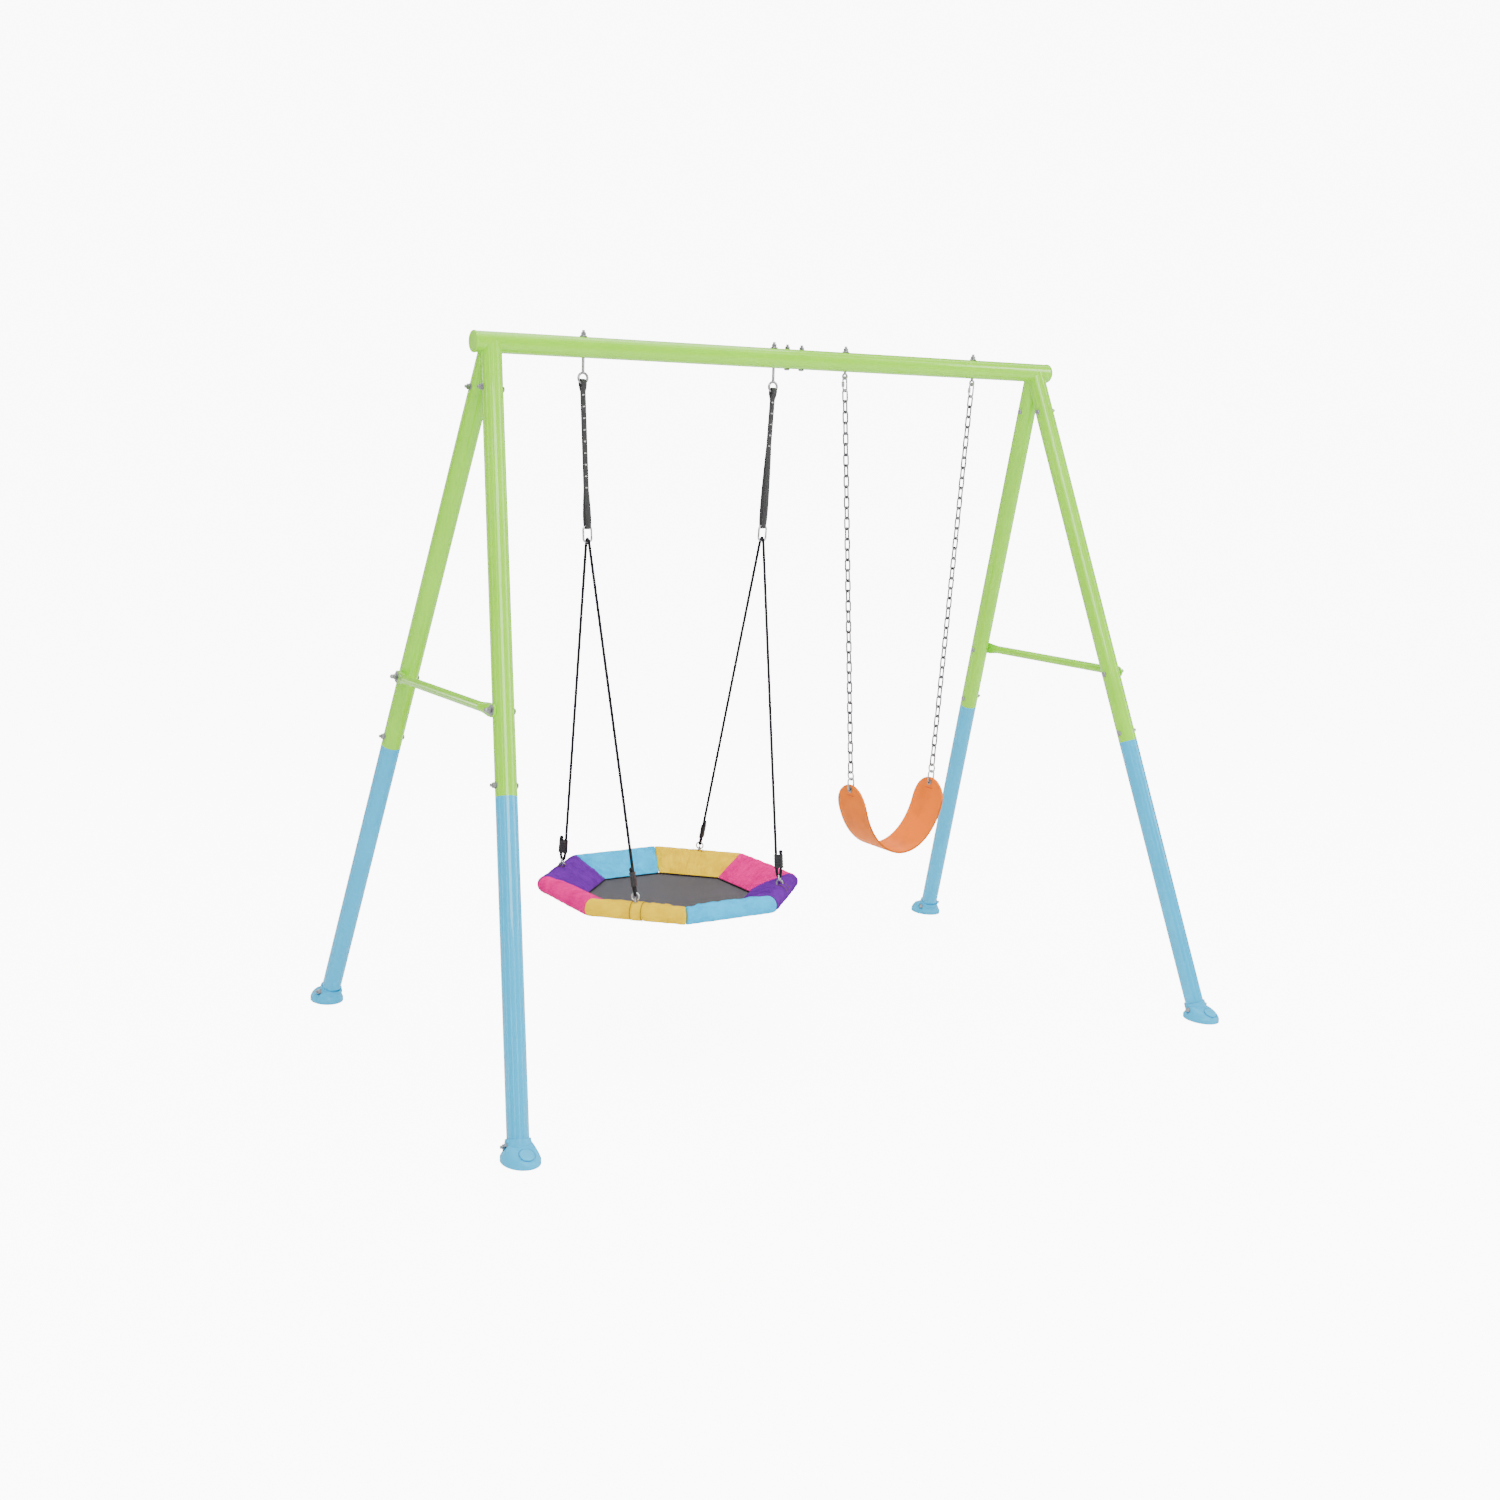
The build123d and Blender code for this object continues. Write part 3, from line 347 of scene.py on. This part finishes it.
GREEN = (0.30, 0.80, 0.0)
BLUE = (0.0, 0.46, 0.80)
MATERIALS = {
    "green_paint": powder_coat("green_paint", GREEN),
    "blue_paint": powder_coat("blue_paint", BLUE),
    "green_plastic": moulded("green_plastic", GREEN),
    "blue_plastic": moulded("blue_plastic", BLUE),
    "zinc_steel": metal("zinc_steel", (0.36, 0.36, 0.37), 0.28, 0.45),
    "bright_steel": metal("bright_steel", (0.55, 0.56, 0.57), 0.15, 0.3),
    "galvanised_chain": metal("galvanised_chain", (0.17, 0.17, 0.175), 0.35, 0.55, spangle=0.8),
    "black_webbing": webbing("black_webbing", (0.012, 0.012, 0.013)),
    "black_rope": cloth("black_rope", (0.016, 0.016, 0.018), threads=900.0, sheen=0.2),
    "black_plastic": moulded("black_plastic", (0.014, 0.014, 0.015), 0.45),
    "purple_fabric": cloth("purple_fabric", (0.135, 0.018, 0.31)),
    "pink_fabric": cloth("pink_fabric", (0.88, 0.0, 0.24)),
    "yellow_fabric": cloth("yellow_fabric", (1.0, 0.60, 0.0)),
    "light_blue_fabric": cloth("light_blue_fabric", (0.0, 0.52, 1.0)),
    "grey_mesh": mat_cloth("grey_mesh", (0.10, 0.094, 0.105)),
    "orange_plastic": rubber("orange_plastic", (1.0, 0.20, 0.0)),
}
THREAD = moulded("pale_thread", (0.92, 0.92, 0.91), 0.6)
# seam cords: stitching thread made dark brown as painted shade of the seam grooves, the same on every pad
# colour
SEAM_THREAD_AND_SHADE = cloth("seam_thread_and_shade", (0.16, 0.10, 0.03), threads=900.0)
# the belt's own orange plastic, darkened as painted shade so its low moulded rib shows as a line
BELT_RIB_PAINTED_SHADE = rubber("orange_rib_painted_shade", (0.72, 0.11, 0.0))
PIPING = cloth("dark_piping", (0.03, 0.03, 0.035), threads=800.0)

for part in frame["record"]["subparts"]:
    node = frame["nodes"][part["node"]]
    node.data.materials.clear()
    node.data.materials.append(MATERIALS[part["material_slot"]])


def finish_piece(piece, body, slot, *nodes):
    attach(piece, body)
    if nodes:
        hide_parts(*nodes)
    return piece


# ------------------------------------------------------------------ camera
# Yaw from +Y towards +X, pitch down and roll, in degrees.
YAW, PITCH, ROLL = 32.6, 10.2, 1.8
CAMERA_AT = Vector((-2.795, -4.233, 1.693))
LENS = 42.7

yaw, pitch, roll = (math.radians(a) for a in (YAW, PITCH, ROLL))
ahead = Vector((math.sin(yaw) * math.cos(pitch), math.cos(yaw) * math.cos(pitch), -math.sin(pitch)))
level = Vector((math.cos(yaw), -math.sin(yaw), 0))
above = level.cross(ahead)
right = level * math.cos(roll) + above * math.sin(roll)
top = above * math.cos(roll) - level * math.sin(roll)
camera_data = bpy.data.cameras.new("camera")
camera_data.lens = LENS
camera_data.sensor_width = 36.0
camera_data.clip_end = 60.0
camera = bpy.data.objects.new("camera", camera_data)
bpy.context.scene.collection.objects.link(camera)
turn = Matrix((right, top, -ahead)).transposed().to_4x4()
camera.matrix_world = Matrix.Translation(CAMERA_AT) @ turn
bpy.context.scene.camera = camera


# ------------------------------------------------------------------ ropes
ROPE_R = 4.0 * MM
# Each rope goes from its knot down through the adjuster, round a rim ring, up over
# the carabiner and down to the other ring and its knot.
ROPE_ROUTES = {
    "left": [(-0.5818, -0.2079, 0.5301), (-0.5784, -0.2217, 0.4681), (-0.5688, -0.2121, 0.4665),
             (-0.5714, -0.2017, 0.5133), (-0.6172, -0.0168, 1.3483), (-0.6198, -0.0064, 1.3951)],
    "right": [(-0.1082, -0.2079, 0.5301), (-0.1116, -0.2217, 0.4681), (-0.1212, -0.2121, 0.4665),
              (-0.1186, -0.2017, 0.5133), (-0.0728, -0.0168, 1.3483), (-0.0702, -0.0064, 1.3951)],
}
BRAID_LOBES = 5          # bumps round the rope
BRAID_TURN = 420.0       # radians of braid per metre
BRAID_DEEP = 0.09


def smooth_line(name, route, per_span=40):
    """The points of one NURBS curve with the route as its control points."""
    data = bpy.data.curves.new(name, "CURVE")
    data.dimensions = "3D"
    spline = data.splines.new("NURBS")
    spline.points.add(len(route) - 1)
    for point, place in zip(spline.points, route):
        point.co = (*place, 1)
    spline.order_u = 3
    spline.use_endpoint_u = True
    spline.resolution_u = per_span
    data.resolution_u = per_span
    curve = bpy.data.objects.new(name, data)
    bpy.context.scene.collection.objects.link(curve)
    mesh = bpy.data.meshes.new_from_object(curve)
    line = [v.co.copy() for v in mesh.vertices]
    bpy.data.objects.remove(curve)
    bpy.data.curves.remove(data)
    bpy.data.meshes.remove(mesh)
    return line


def evenly(line, step):
    """The same line with its points about step apart."""
    line = np.array([tuple(p) for p in line])
    along = np.concatenate([[0], np.cumsum(np.linalg.norm(np.diff(line, axis=0), axis=1))])
    at = np.linspace(0, along[-1], math.ceil(along[-1] / step) + 1)
    return [Vector(p) for p in np.stack([np.interp(at, along, line[:, k]) for k in range(3)], 1)]


def braided(i, along, around=20):
    """Round section with the crossing bumps of a diamond braid."""
    pairs = []
    for k in range(around):
        angle = math.tau * k / around
        bump = math.cos(BRAID_LOBES * angle - BRAID_TURN * along) * math.cos(
            BRAID_LOBES * angle + BRAID_TURN * along)
        radius = ROPE_R * (1 - BRAID_DEEP / 2 + BRAID_DEEP * bump)
        pairs.append((radius * math.cos(angle), radius * math.sin(angle)))
    return pairs


def knot(name, low, way):
    """Stopper knot: three turns of rope drawn tight on the rope's end."""
    size, height, rings, around = 6.0 * MM, 12.5 * MM, 32, 24
    line = [low + way * height * k / (rings - 1) for k in range(rings)]

    def section(i, along):
        share = i / (rings - 1)
        girth = max(0.12, math.sin(math.pi * (0.06 + 0.88 * share)) ** 0.45)
        pairs = []
        for k in range(around):
            angle = math.tau * k / around
            lay = abs(math.sin(math.pi * 3 * share + angle / 2))
            radius = size * girth * (0.84 + 0.16 * lay ** 0.6)
            pairs.append((radius * math.cos(angle), radius * math.sin(angle)))
        return pairs
    return sweep(name, line, section, MATERIALS["black_rope"])


for name, half_route in ROPE_ROUTES.items():
    route = half_route + [(x, -y, z) for x, y, z in reversed(half_route)]
    line = evenly(smooth_line(f"route_{name}", route), 2.2 * MM)
    rope = sweep(f"rope_{name}_braid", line, braided, MATERIALS["black_rope"])
    finish_piece(rope, "saucer_seat", "black_rope", f"rope_{name}")
    for end, place, beside in (("front", line[0], line[6]), ("back", line[-1], line[-7])):
        way = (place - beside).normalized()
        tied = knot(f"knot_{end}_{name}", place - way * 1.0 * MM, way)
        finish_piece(tied, "saucer_seat", "black_rope", "rope_knots")


# ------------------------------------------------------------------ webbing straps
STRAP_W = 15.0 * MM
STRAP_T = 2.2 * MM
SEWN_GAP = 0.6 * MM      # between the two plies where they are sewn together
LOOP_END = 32.0 * MM     # from a strap's top to where its upper loop closes
STRAP_ROWS = 220
STRAP_STEP = 2.0 * MM    # between the webbing's cross-sections
STITCH = 3.6 * MM        # length of a stitch
STITCH_W = 2.6 * MM
STITCH_H = 1.3 * MM
STITCH_PITCH = 30.0 * MM
STITCH_ROWS = 11
STITCH_TOP = 40.0 * MM   # from a strap's top to its first stitches
STITCH_COLUMN = 1.5 * MM


def make_strap(name, opening):
    """Webbing sewn to itself, with a loop on the eyebolt and a loop on the carabiner."""
    low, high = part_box(f"strap_{name}")
    centre_x_low = middle(f"carabiner_{name}").x
    centre_x_high = low.x + high.x - centre_x_low
    loop_r = (high.y - low.y) / 2 - STRAP_T / 2
    height = high.z - low.z - STRAP_T
    base = low.z + STRAP_T / 2
    shut = STRAP_T / 2 + SEWN_GAP / 2
    profile = []
    for k in range(STRAP_ROWS + 1):
        z = height * k / STRAP_ROWS
        top_share, low_share = (height - z) / LOOP_END, z / opening
        spread = shut
        if top_share < 1:
            spread = shut + (loop_r - shut) * math.sin(math.pi * top_share ** 0.62) ** 0.9
        elif low_share < 1:
            spread = shut + (loop_r - shut) * math.sin(math.pi * low_share ** 0.5) ** 0.8
        if k in (0, STRAP_ROWS):
            spread = 0.0
        profile.append((spread, z))
    loop = profile + [(-spread, z) for spread, z in reversed(profile[1:-1])]
    line = []
    for y, z in loop:
        share = z / height
        line.append((centre_x_low + (centre_x_high - centre_x_low) * share, y, base + z))
    line = evenly(line + [line[0]], STRAP_STEP)[:-1]
    half_w, half_t, edge = STRAP_W / 2, STRAP_T / 2, 0.5 * MM
    corners = [(-half_w, -half_t + edge), (-half_w + edge, -half_t), (0, -half_t * 1.05),
               (half_w - edge, -half_t), (half_w, -half_t + edge), (half_w, half_t - edge),
               (half_w - edge, half_t), (0, half_t * 1.05), (-half_w + edge, half_t),
               (-half_w, half_t - edge)]
    strap = sweep(f"webbing_{name}", line, lambda i, along: corners, MATERIALS["black_webbing"],
                  closed=True, side=Vector((1, 0, 0)))
    finish_piece(strap, "saucer_hanger", "black_webbing", f"strap_{name}")
    return profile, base, height, (centre_x_low, centre_x_high)


def make_stitches(name, strap):
    """Two lines of pale stitches along the sewn parts of a strap, on both faces."""
    profile, base, height, (x_low, x_high) = strap
    points, faces = [], []
    outside = STRAP_T + SEWN_GAP / 2 + 0.25 * MM
    places = []
    for k in range(STITCH_ROWS):
        for column in (-STITCH_COLUMN, STITCH_COLUMN):
            places.append((column, height - STITCH_TOP - k * STITCH_PITCH))
    for u, z in places:
        spread = np.interp(z, [p[1] for p in profile], [p[0] for p in profile])
        if spread > STRAP_T:
            continue
        for way in (-1, 1):
            first = len(points)
            centre = Vector((x_low + (x_high - x_low) * z / height + u, way * outside, base + z))
            for half_u, half_z, dy in ((0.45, 1, -0.3), (0.25, 0.7, 0.35)):
                for u_way, z_way in ((-1, -1), (1, -1), (1, 1), (-1, 1)):
                    points.append(centre + Vector((u_way * half_u * STITCH_W, way * dy * STITCH_H,
                                                   z_way * half_z * STITCH / 2)))
            faces += [tuple(first + c for c in quad) for quad in (
                (0, 3, 2, 1), (4, 5, 6, 7), (0, 1, 5, 4), (1, 2, 6, 5), (2, 3, 7, 6), (3, 0, 4, 7))]
    piece = mesh_piece(f"strap_stitches_{name}", points, faces, THREAD)
    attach(piece, "saucer_hanger")


STRAP_OPENINGS = {"left": 0.10, "right": 0.23}
for name, opening in STRAP_OPENINGS.items():
    make_stitches(name, make_strap(name, opening))


# ------------------------------------------------------------------ saucer pads
PAD_R = 25.0 * MM
PAD_START = 23.0 * MM    # radius that a sleeve is blown up from
FLAP_EDGE = 216.0 * MM
FLAP_DROP = 28.0 * MM
FLAP_T = 4.0 * MM
PRESSED = 1.2 * MM       # how far a pad's end presses past its mitre into the next pad
MITRE = math.tan(math.radians(22.5))
rim_z = middle("rim_connectors").z
saucer = Vector((middle("mat").x, 0, rim_z))
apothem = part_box("pads_light_blue")[1].y - PAD_R
FABRICS = {
    "purple": (135, -45), "pink": (180, 0), "yellow": (-135, 45), "light_blue": (-90, 90),
}
COMPASS = {0: "right", 45: "back_right", 90: "back", 135: "back_left", 180: "left",
           -135: "front_left", -90: "front", -45: "front_right"}
PAD_SWELL = 6.0 * MM     # furthest that the cloth moves from its start
PRESSURE = 3.0           # of the cloth simulation, as are the next three
STRETCHY = 18.0
BENDY = 0.4
SHRINK = -0.035
SKIN_IN, SKIN_OUT = 0.9 * MM, 0.3 * MM   # how far a sleeve's skin may leave its foam
FOLD_DEPTH = {"purple": 8.0 * MM, "yellow": 3.6 * MM, "pink": 5.0 * MM, "light_blue": 3.6 * MM}
PATCH_HALF = 15.0 * MM   # half width of the sewn patch round a rim ring


def pad_profile(radius):
    """Outline of a sleeve with its flap, as (outward, up) pairs."""
    inner_top, inner_low = (FLAP_EDGE, -FLAP_DROP), (FLAP_EDGE, -FLAP_DROP - FLAP_T)
    pairs = []
    first, last = math.radians(122), math.radians(-197)
    arc = 40
    for k in range(arc + 1):
        angle = first + (last - first) * k / arc
        pairs.append((apothem + radius * math.cos(angle), radius * math.sin(angle)))
    low_end, high_end = pairs[-1], pairs[0]
    flap = 14
    for k in range(1, flap + 1):
        share = k / flap
        pairs.append((low_end[0] + (inner_low[0] - low_end[0]) * share,
                      low_end[1] + (inner_low[1] - low_end[1]) * share))
    for k in range(flap):
        share = k / flap
        pairs.append((inner_top[0] + (high_end[0] - inner_top[0]) * share,
                      inner_top[1] + (high_end[1] - inner_top[1]) * share))
    return pairs


def pad_frame(angle):
    turn = math.radians(angle)
    outward = Vector((math.cos(turn), math.sin(turn), 0))
    tangent = Vector((-math.sin(turn), math.cos(turn), 0))
    return outward, tangent


def pad_mesh(name, angle, material):
    outward, tangent = pad_frame(angle)
    profile = pad_profile(PAD_START)
    columns, rows = len(profile), 49
    points = []
    for i in range(rows):
        share = 2 * i / (rows - 1) - 1
        for u, v in profile:
            reach = u * MITRE + PRESSED
            sleeve = min(1, max(0, (u - apothem + 2 * PAD_START) / PAD_START))
            pinch = 1 - 0.05 * abs(share) ** 8 * sleeve
            points.append(saucer + outward * (apothem + (u - apothem) * pinch)
                          + tangent * (reach * share) + Vector((0, 0, v * pinch)))
    faces = grid_faces(rows, columns)
    faces.append(tuple(reversed(range(columns))))
    faces.append(tuple(range((rows - 1) * columns, rows * columns)))
    return mesh_piece(name, points, faces, material)


def remesh(piece, voxel):
    modifier = piece.modifiers.new("remesh", "REMESH")
    modifier.mode = "VOXEL"
    modifier.voxel_size = voxel
    return apply_modifiers(piece)


def pad_shares(places, angle):
    """For each point: its share along the pad, from -1 to 1, and its distance outward."""
    outward, tangent = (np.array(v) for v in pad_frame(angle))
    away = places - np.array(saucer)
    out = away @ outward
    return (away @ tangent) / (out * MITRE), out


def inflate(piece, angle, frames=16):
    """Blows the pad up as cloth, held at its seams and at the flap's sewn edge."""
    start = points_of(piece)
    along, out = pad_shares(start, angle)
    held = (np.abs(along) > 0.955) | (out < FLAP_EDGE + 5 * MM)
    group = piece.vertex_groups.new(name="held")
    group.add([int(i) for i in np.flatnonzero(held)], 1.0, "REPLACE")
    modifier = piece.modifiers.new("cloth", "CLOTH")
    settings = modifier.settings
    settings.quality = 5
    settings.mass = 0.25
    settings.use_pressure = True
    settings.uniform_pressure_force = PRESSURE
    settings.tension_stiffness = STRETCHY
    settings.bending_stiffness = BENDY
    settings.shrink_min = SHRINK
    settings.vertex_group_mass = group.name
    settings.effector_weights.gravity = 0.0
    modifier.point_cache.frame_start = 1
    modifier.point_cache.frame_end = frames
    for number in range(1, frames + 1):
        bpy.context.scene.frame_set(number)
    apply_modifiers(piece)
    move = points_of(piece) - start
    far = np.linalg.norm(move, axis=1)
    move *= (np.minimum(far, PAD_SWELL) / np.maximum(far, 1e-9))[:, None]
    move_points(piece, start + move)
    bpy.context.scene.frame_set(1)


def firm_up(piece, angle):
    """Keeps the foam sleeve's skin close to its foam, so the rim stays an even tube."""
    places = points_of(piece)
    outward = np.array(pad_frame(angle)[0])
    out = (places - np.array(saucer)) @ outward
    across, up = out - apothem, places[:, 2] - rim_z
    far = np.hypot(across, up)
    sleeve = np.clip((across + 20 * MM) / (8 * MM), 0, 1)
    wanted = np.clip(far, PAD_R - SKIN_IN, PAD_R + SKIN_OUT)
    grow = (wanted / np.maximum(far, 1e-6) - 1) * sleeve
    places += outward * (across * grow)[:, None]
    places[:, 2] += up * grow
    move_points(piece, places)


def crease(piece, angle, kind):
    """Soft folds that run from the rim to the mat, deeper near the seams and the ring."""
    places = points_of(piece)
    normals = np.zeros(len(places) * 3)
    piece.data.vertices.foreach_get("normal", normals)
    normals = normals.reshape(-1, 3)
    along, out = pad_shares(places, angle)
    slant = 3.4 if kind == "purple" else 1.1
    moved = np.zeros(len(places))
    for i, (share, reach) in enumerate(zip(along, out)):
        u = (reach - FLAP_EDGE) / (apothem + PAD_R - FLAP_EDGE)
        a = noise.noise(Vector((share * 5.0 + u * slant, u * 1.4, angle * 0.13)))
        b = noise.noise(Vector((share * 11.0 - u * slant * 1.3, u * 2.6, angle * 0.29 + 7)))
        near_end = 1 - 0.6 * abs(share) ** 6
        fold = abs(math.sin(9.0 * share + 5.0 * u * slant / 3.4 + 2.4 * a)) ** 0.6
        moved[i] = (a * 0.7 + b * 0.4 + (fold - 0.7) * (0.9 if kind == "purple" else 0.25)) * near_end
    fade = np.clip((out - FLAP_EDGE) / (12 * MM), 0.15, 1)
    fade *= 1 - 0.6 * np.clip((out - apothem + 15 * MM) / (15 * MM), 0, 1)
    moved *= FOLD_DEPTH[kind] * fade
    if angle % 90:
        beside = np.abs(along * out * MITRE)
        seam = np.exp(-((beside - PATCH_HALF) / (2.6 * MM)) ** 2)
        top = (normals[:, 2] > 0.5) & (beside < 9 * MM)
        slit = np.exp(-((out - apothem + 6 * MM) / (3.5 * MM)) ** 2) * top
        patch = np.clip((PATCH_HALF - beside) / (2 * MM), 0, 1)
        moved = moved * (1 - 0.5 * patch) + 0.9 * MM * patch - 1.2 * MM * seam - 4.0 * MM * slit
    move_points(piece, places + normals * moved[:, None])


def make_pad(kind, angle):
    slot = f"{kind}_fabric"
    pad = pad_mesh(f"pad_{kind}_{COMPASS[angle]}", angle, MATERIALS[slot])
    inflate(pad, angle)
    firm_up(pad, angle)
    pad.modifiers.new("finer", "SUBSURF").levels = 1
    apply_modifiers(pad)
    crease(pad, angle, kind)
    finish_piece(pad, "saucer_seat", slot, f"pads_{kind}")


def make_seams(angle):
    """The two stitched lines beside a rim ring's opening, round the outside of a sleeve: stitching thread
    whose dark colour is painted shade of the seam grooves.
    """
    outward, tangent = pad_frame(angle)
    ring = [(0.9 * MM * math.cos(math.tau * k / 8), 0.9 * MM * math.sin(math.tau * k / 8)) for k in range(8)]
    for label, sign in (("a", -1), ("b", 1)):
        line = []
        for k in range(49):
            turn = math.radians(118 - 200 * k / 48)
            reach = PAD_R + 0.1 * MM
            line.append(saucer + outward * (apothem + reach * math.cos(turn))
                        + tangent * (sign * PATCH_HALF) + Vector((0, 0, reach * math.sin(turn))))
        seam = sweep(f"pad_seam_{COMPASS[angle]}_{label}", line, lambda i, along: ring, SEAM_THREAD_AND_SHADE,
                     side=tangent)
        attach(seam, "saucer_seat")


for diagonal in (-135, -45, 45, 135):
    make_seams(diagonal)
for kind, angles in FABRICS.items():
    for angle in angles:
        make_pad(kind, angle)


# ------------------------------------------------------------------ saucer mat
MAT_REACH = 224.0 * MM   # apothem of the mat
MAT_SAG = 5.0 * MM


def octagon(reach, angle):
    """Distance from the centre to the edge of an octagon in this direction."""
    part = (angle + math.pi / 8) % (math.pi / 4) - math.pi / 8
    return reach / math.cos(part)


def make_mat():
    surface = middle("mat").z
    rings, around = 40, 128
    points = [saucer + Vector((0, 0, surface - MAT_SAG - rim_z))]
    for i in range(1, rings + 1):
        share = i / rings
        for k in range(around):
            angle = math.tau * k / around
            reach = octagon(MAT_REACH, angle) * share
            drop = MAT_SAG * (1 - share ** 2)
            ripple = 0.5 * MM * noise.noise(Vector((share * 3, angle * 2, 0.5))) * share
            points.append(Vector((saucer.x + reach * math.cos(angle), reach * math.sin(angle),
                                  surface - drop + ripple)))
    faces = [(0, 1 + k, 1 + (k + 1) % around) for k in range(around)]
    faces += [tuple(c + 1 for c in quad) for quad in grid_faces(rings, around)]
    mat = mesh_piece("mat_mesh", points, faces, MATERIALS["grey_mesh"])
    solid = mat.modifiers.new("thickness", "SOLIDIFY")
    solid.thickness = 1.4 * MM
    solid.offset = 0
    finish_piece(mat, "saucer_seat", "grey_mesh", "mat")


def make_piping():
    """Dark piping where the flaps are sewn to the mat."""
    radius, line = 1.7 * MM, []
    for k in range(160):
        angle = math.tau * k / 160
        reach = octagon(FLAP_EDGE - 0.6 * MM, angle)
        line.append(saucer + Vector((reach * math.cos(angle), reach * math.sin(angle),
                                     -FLAP_DROP - FLAP_T * 0.55)))
    ring = [(radius * math.cos(math.tau * k / 10), radius * math.sin(math.tau * k / 10)) for k in range(10)]
    piping = sweep("mat_piping", line, lambda i, along: ring, PIPING, closed=True, side=Vector((0, 0, 1)))
    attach(piping, "saucer_seat")


make_mat()
make_piping()


# ------------------------------------------------------------------ belt seat
BELT_RIB_DOWN = 33.0 * MM   # from the belt's top to its moulded line
BELT_RIB_HALF = 19.0 * MM


def make_belt_rib(side, sign, belt):
    """Low moulded line across the belt, below its hole; its darker orange is painted shade."""
    low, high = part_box("belt_seat")
    z = high.z - BELT_RIB_DOWN
    rough = points_of(belt)
    near = rough[(np.abs(rough[:, 2] - z) < 1.5 * MM) & ((rough[:, 0] - (low.x + high.x) / 2) * sign > 0)]
    points, faces = [], []
    for x, way in ((near[:, 0].min(), -1), (near[:, 0].max(), 1)):
        first = len(points)
        for y in np.linspace(-BELT_RIB_HALF, BELT_RIB_HALF, 9):
            end = 1 - abs(y / BELT_RIB_HALF) ** 4
            for dx, dz in ((-0.6, -2.0), (1.0 * end, -0.9), (1.0 * end, 0.9), (-0.6, 2.0)):
                points.append((x + way * dx * MM, y, z + dz * MM * (0.3 + 0.7 * end)))
        faces += [tuple(first + c for c in quad) for quad in grid_faces(9, 4)]
        faces += [tuple(range(first, first + 4)), tuple(range(first + 32, first + 36))]
    rib = mesh_piece(f"belt_rib_{side}", points, faces, BELT_RIB_PAINTED_SHADE)
    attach(rib, "belt_sling")


def make_belt():
    """The belt with softened edges, from its CAD solid's own shape."""
    source = frame["nodes"]["belt_seat"]
    belt = bpy.data.objects.new("belt", source.data.copy())
    bpy.context.scene.collection.objects.link(belt)
    belt.data.materials.clear()
    belt.data.materials.append(MATERIALS["orange_plastic"])
    remesh(belt, 1.6 * MM)
    smooth = belt.modifiers.new("soften", "SMOOTH")
    smooth.factor = 0.5
    smooth.iterations = 6
    apply_modifiers(belt)
    finish_piece(belt, "belt_sling", "orange_plastic", "belt_seat")
    for side, sign in (("left", -1), ("right", 1)):
        make_belt_rib(side, sign, belt)


make_belt()


# ------------------------------------------------------------------ floor and light
FLOOR_HALF = 30.0
PANELS = 7.0             # light panels round the studio
STUDIO = 0.7             # how bright the panels are
low, high = CAD_BOX
floor = mesh_piece("floor", [(-FLOOR_HALF, -FLOOR_HALF, low.z), (FLOOR_HALF, -FLOOR_HALF, low.z),
                             (FLOOR_HALF, FLOOR_HALF, low.z), (-FLOOR_HALF, FLOOR_HALF, low.z)],
                   [(0, 1, 2, 3)], floor_paper("floor_paper"))
floor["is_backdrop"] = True

world = bpy.data.worlds.new("studio")
bpy.context.scene.world = world
world.use_nodes = True
tree = world.node_tree
background = tree.nodes["Background"]
way = tree.nodes.new("ShaderNodeSeparateXYZ")
tree.links.new(tree.nodes.new("ShaderNodeTexCoord").outputs["Generated"], way.inputs["Vector"])


def world_math(operation, *values):
    node = tree.nodes.new("ShaderNodeMath")
    node.operation = operation
    for value, target in zip(values, node.inputs):
        if isinstance(value, (int, float)):
            target.default_value = value
        else:
            tree.links.new(value, target)
    return node.outputs["Value"]


# tall light panels with darker gaps stand round the studio
around = world_math("ARCTAN2", way.outputs["Y"], way.outputs["X"])
panels = world_math("SINE", world_math("MULTIPLY", around, PANELS))
panels = world_math("MAXIMUM", world_math("MULTIPLY_ADD", panels, 90.0, -80.0), 0.45)
above = world_math("GREATER_THAN", way.outputs["Z"], 0.75)
strength = world_math("MULTIPLY", world_math("MAXIMUM", panels, above), STUDIO)
seen = tree.nodes.new("ShaderNodeLightPath").outputs["Is Camera Ray"]
unseen = world_math("SUBTRACT", 1.0, seen)
bright = world_math("MULTIPLY", seen, WHITE_OUT + 1)
strength = world_math("ADD", world_math("MULTIPLY", strength, unseen), bright)
tree.links.new(strength, background.inputs["Strength"])
background.inputs["Color"].default_value = (1, 1, 1, 1)


def soft_light(name, place, size, power):
    data = bpy.data.lights.new(name, "AREA")
    data.shape = "RECTANGLE"
    data.size, data.size_y = size
    data.energy = power
    light = bpy.data.objects.new(name, data)
    bpy.context.scene.collection.objects.link(light)
    light.location = place
    target = (low + high) / 2
    light.rotation_mode = "QUATERNION"
    light.rotation_quaternion = (target - Vector(place)).to_track_quat("-Z", "Y")


soft_light("key", (-2.0, -5.0, 4.2), (2.4, 3.0), 240)
soft_light("side", (4.5, -3.0, 3.0), (1.2, 3.5), 110)
soft_light("above", (0.0, 1.0, 5.5), (5.0, 4.0), 160)

low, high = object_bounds()
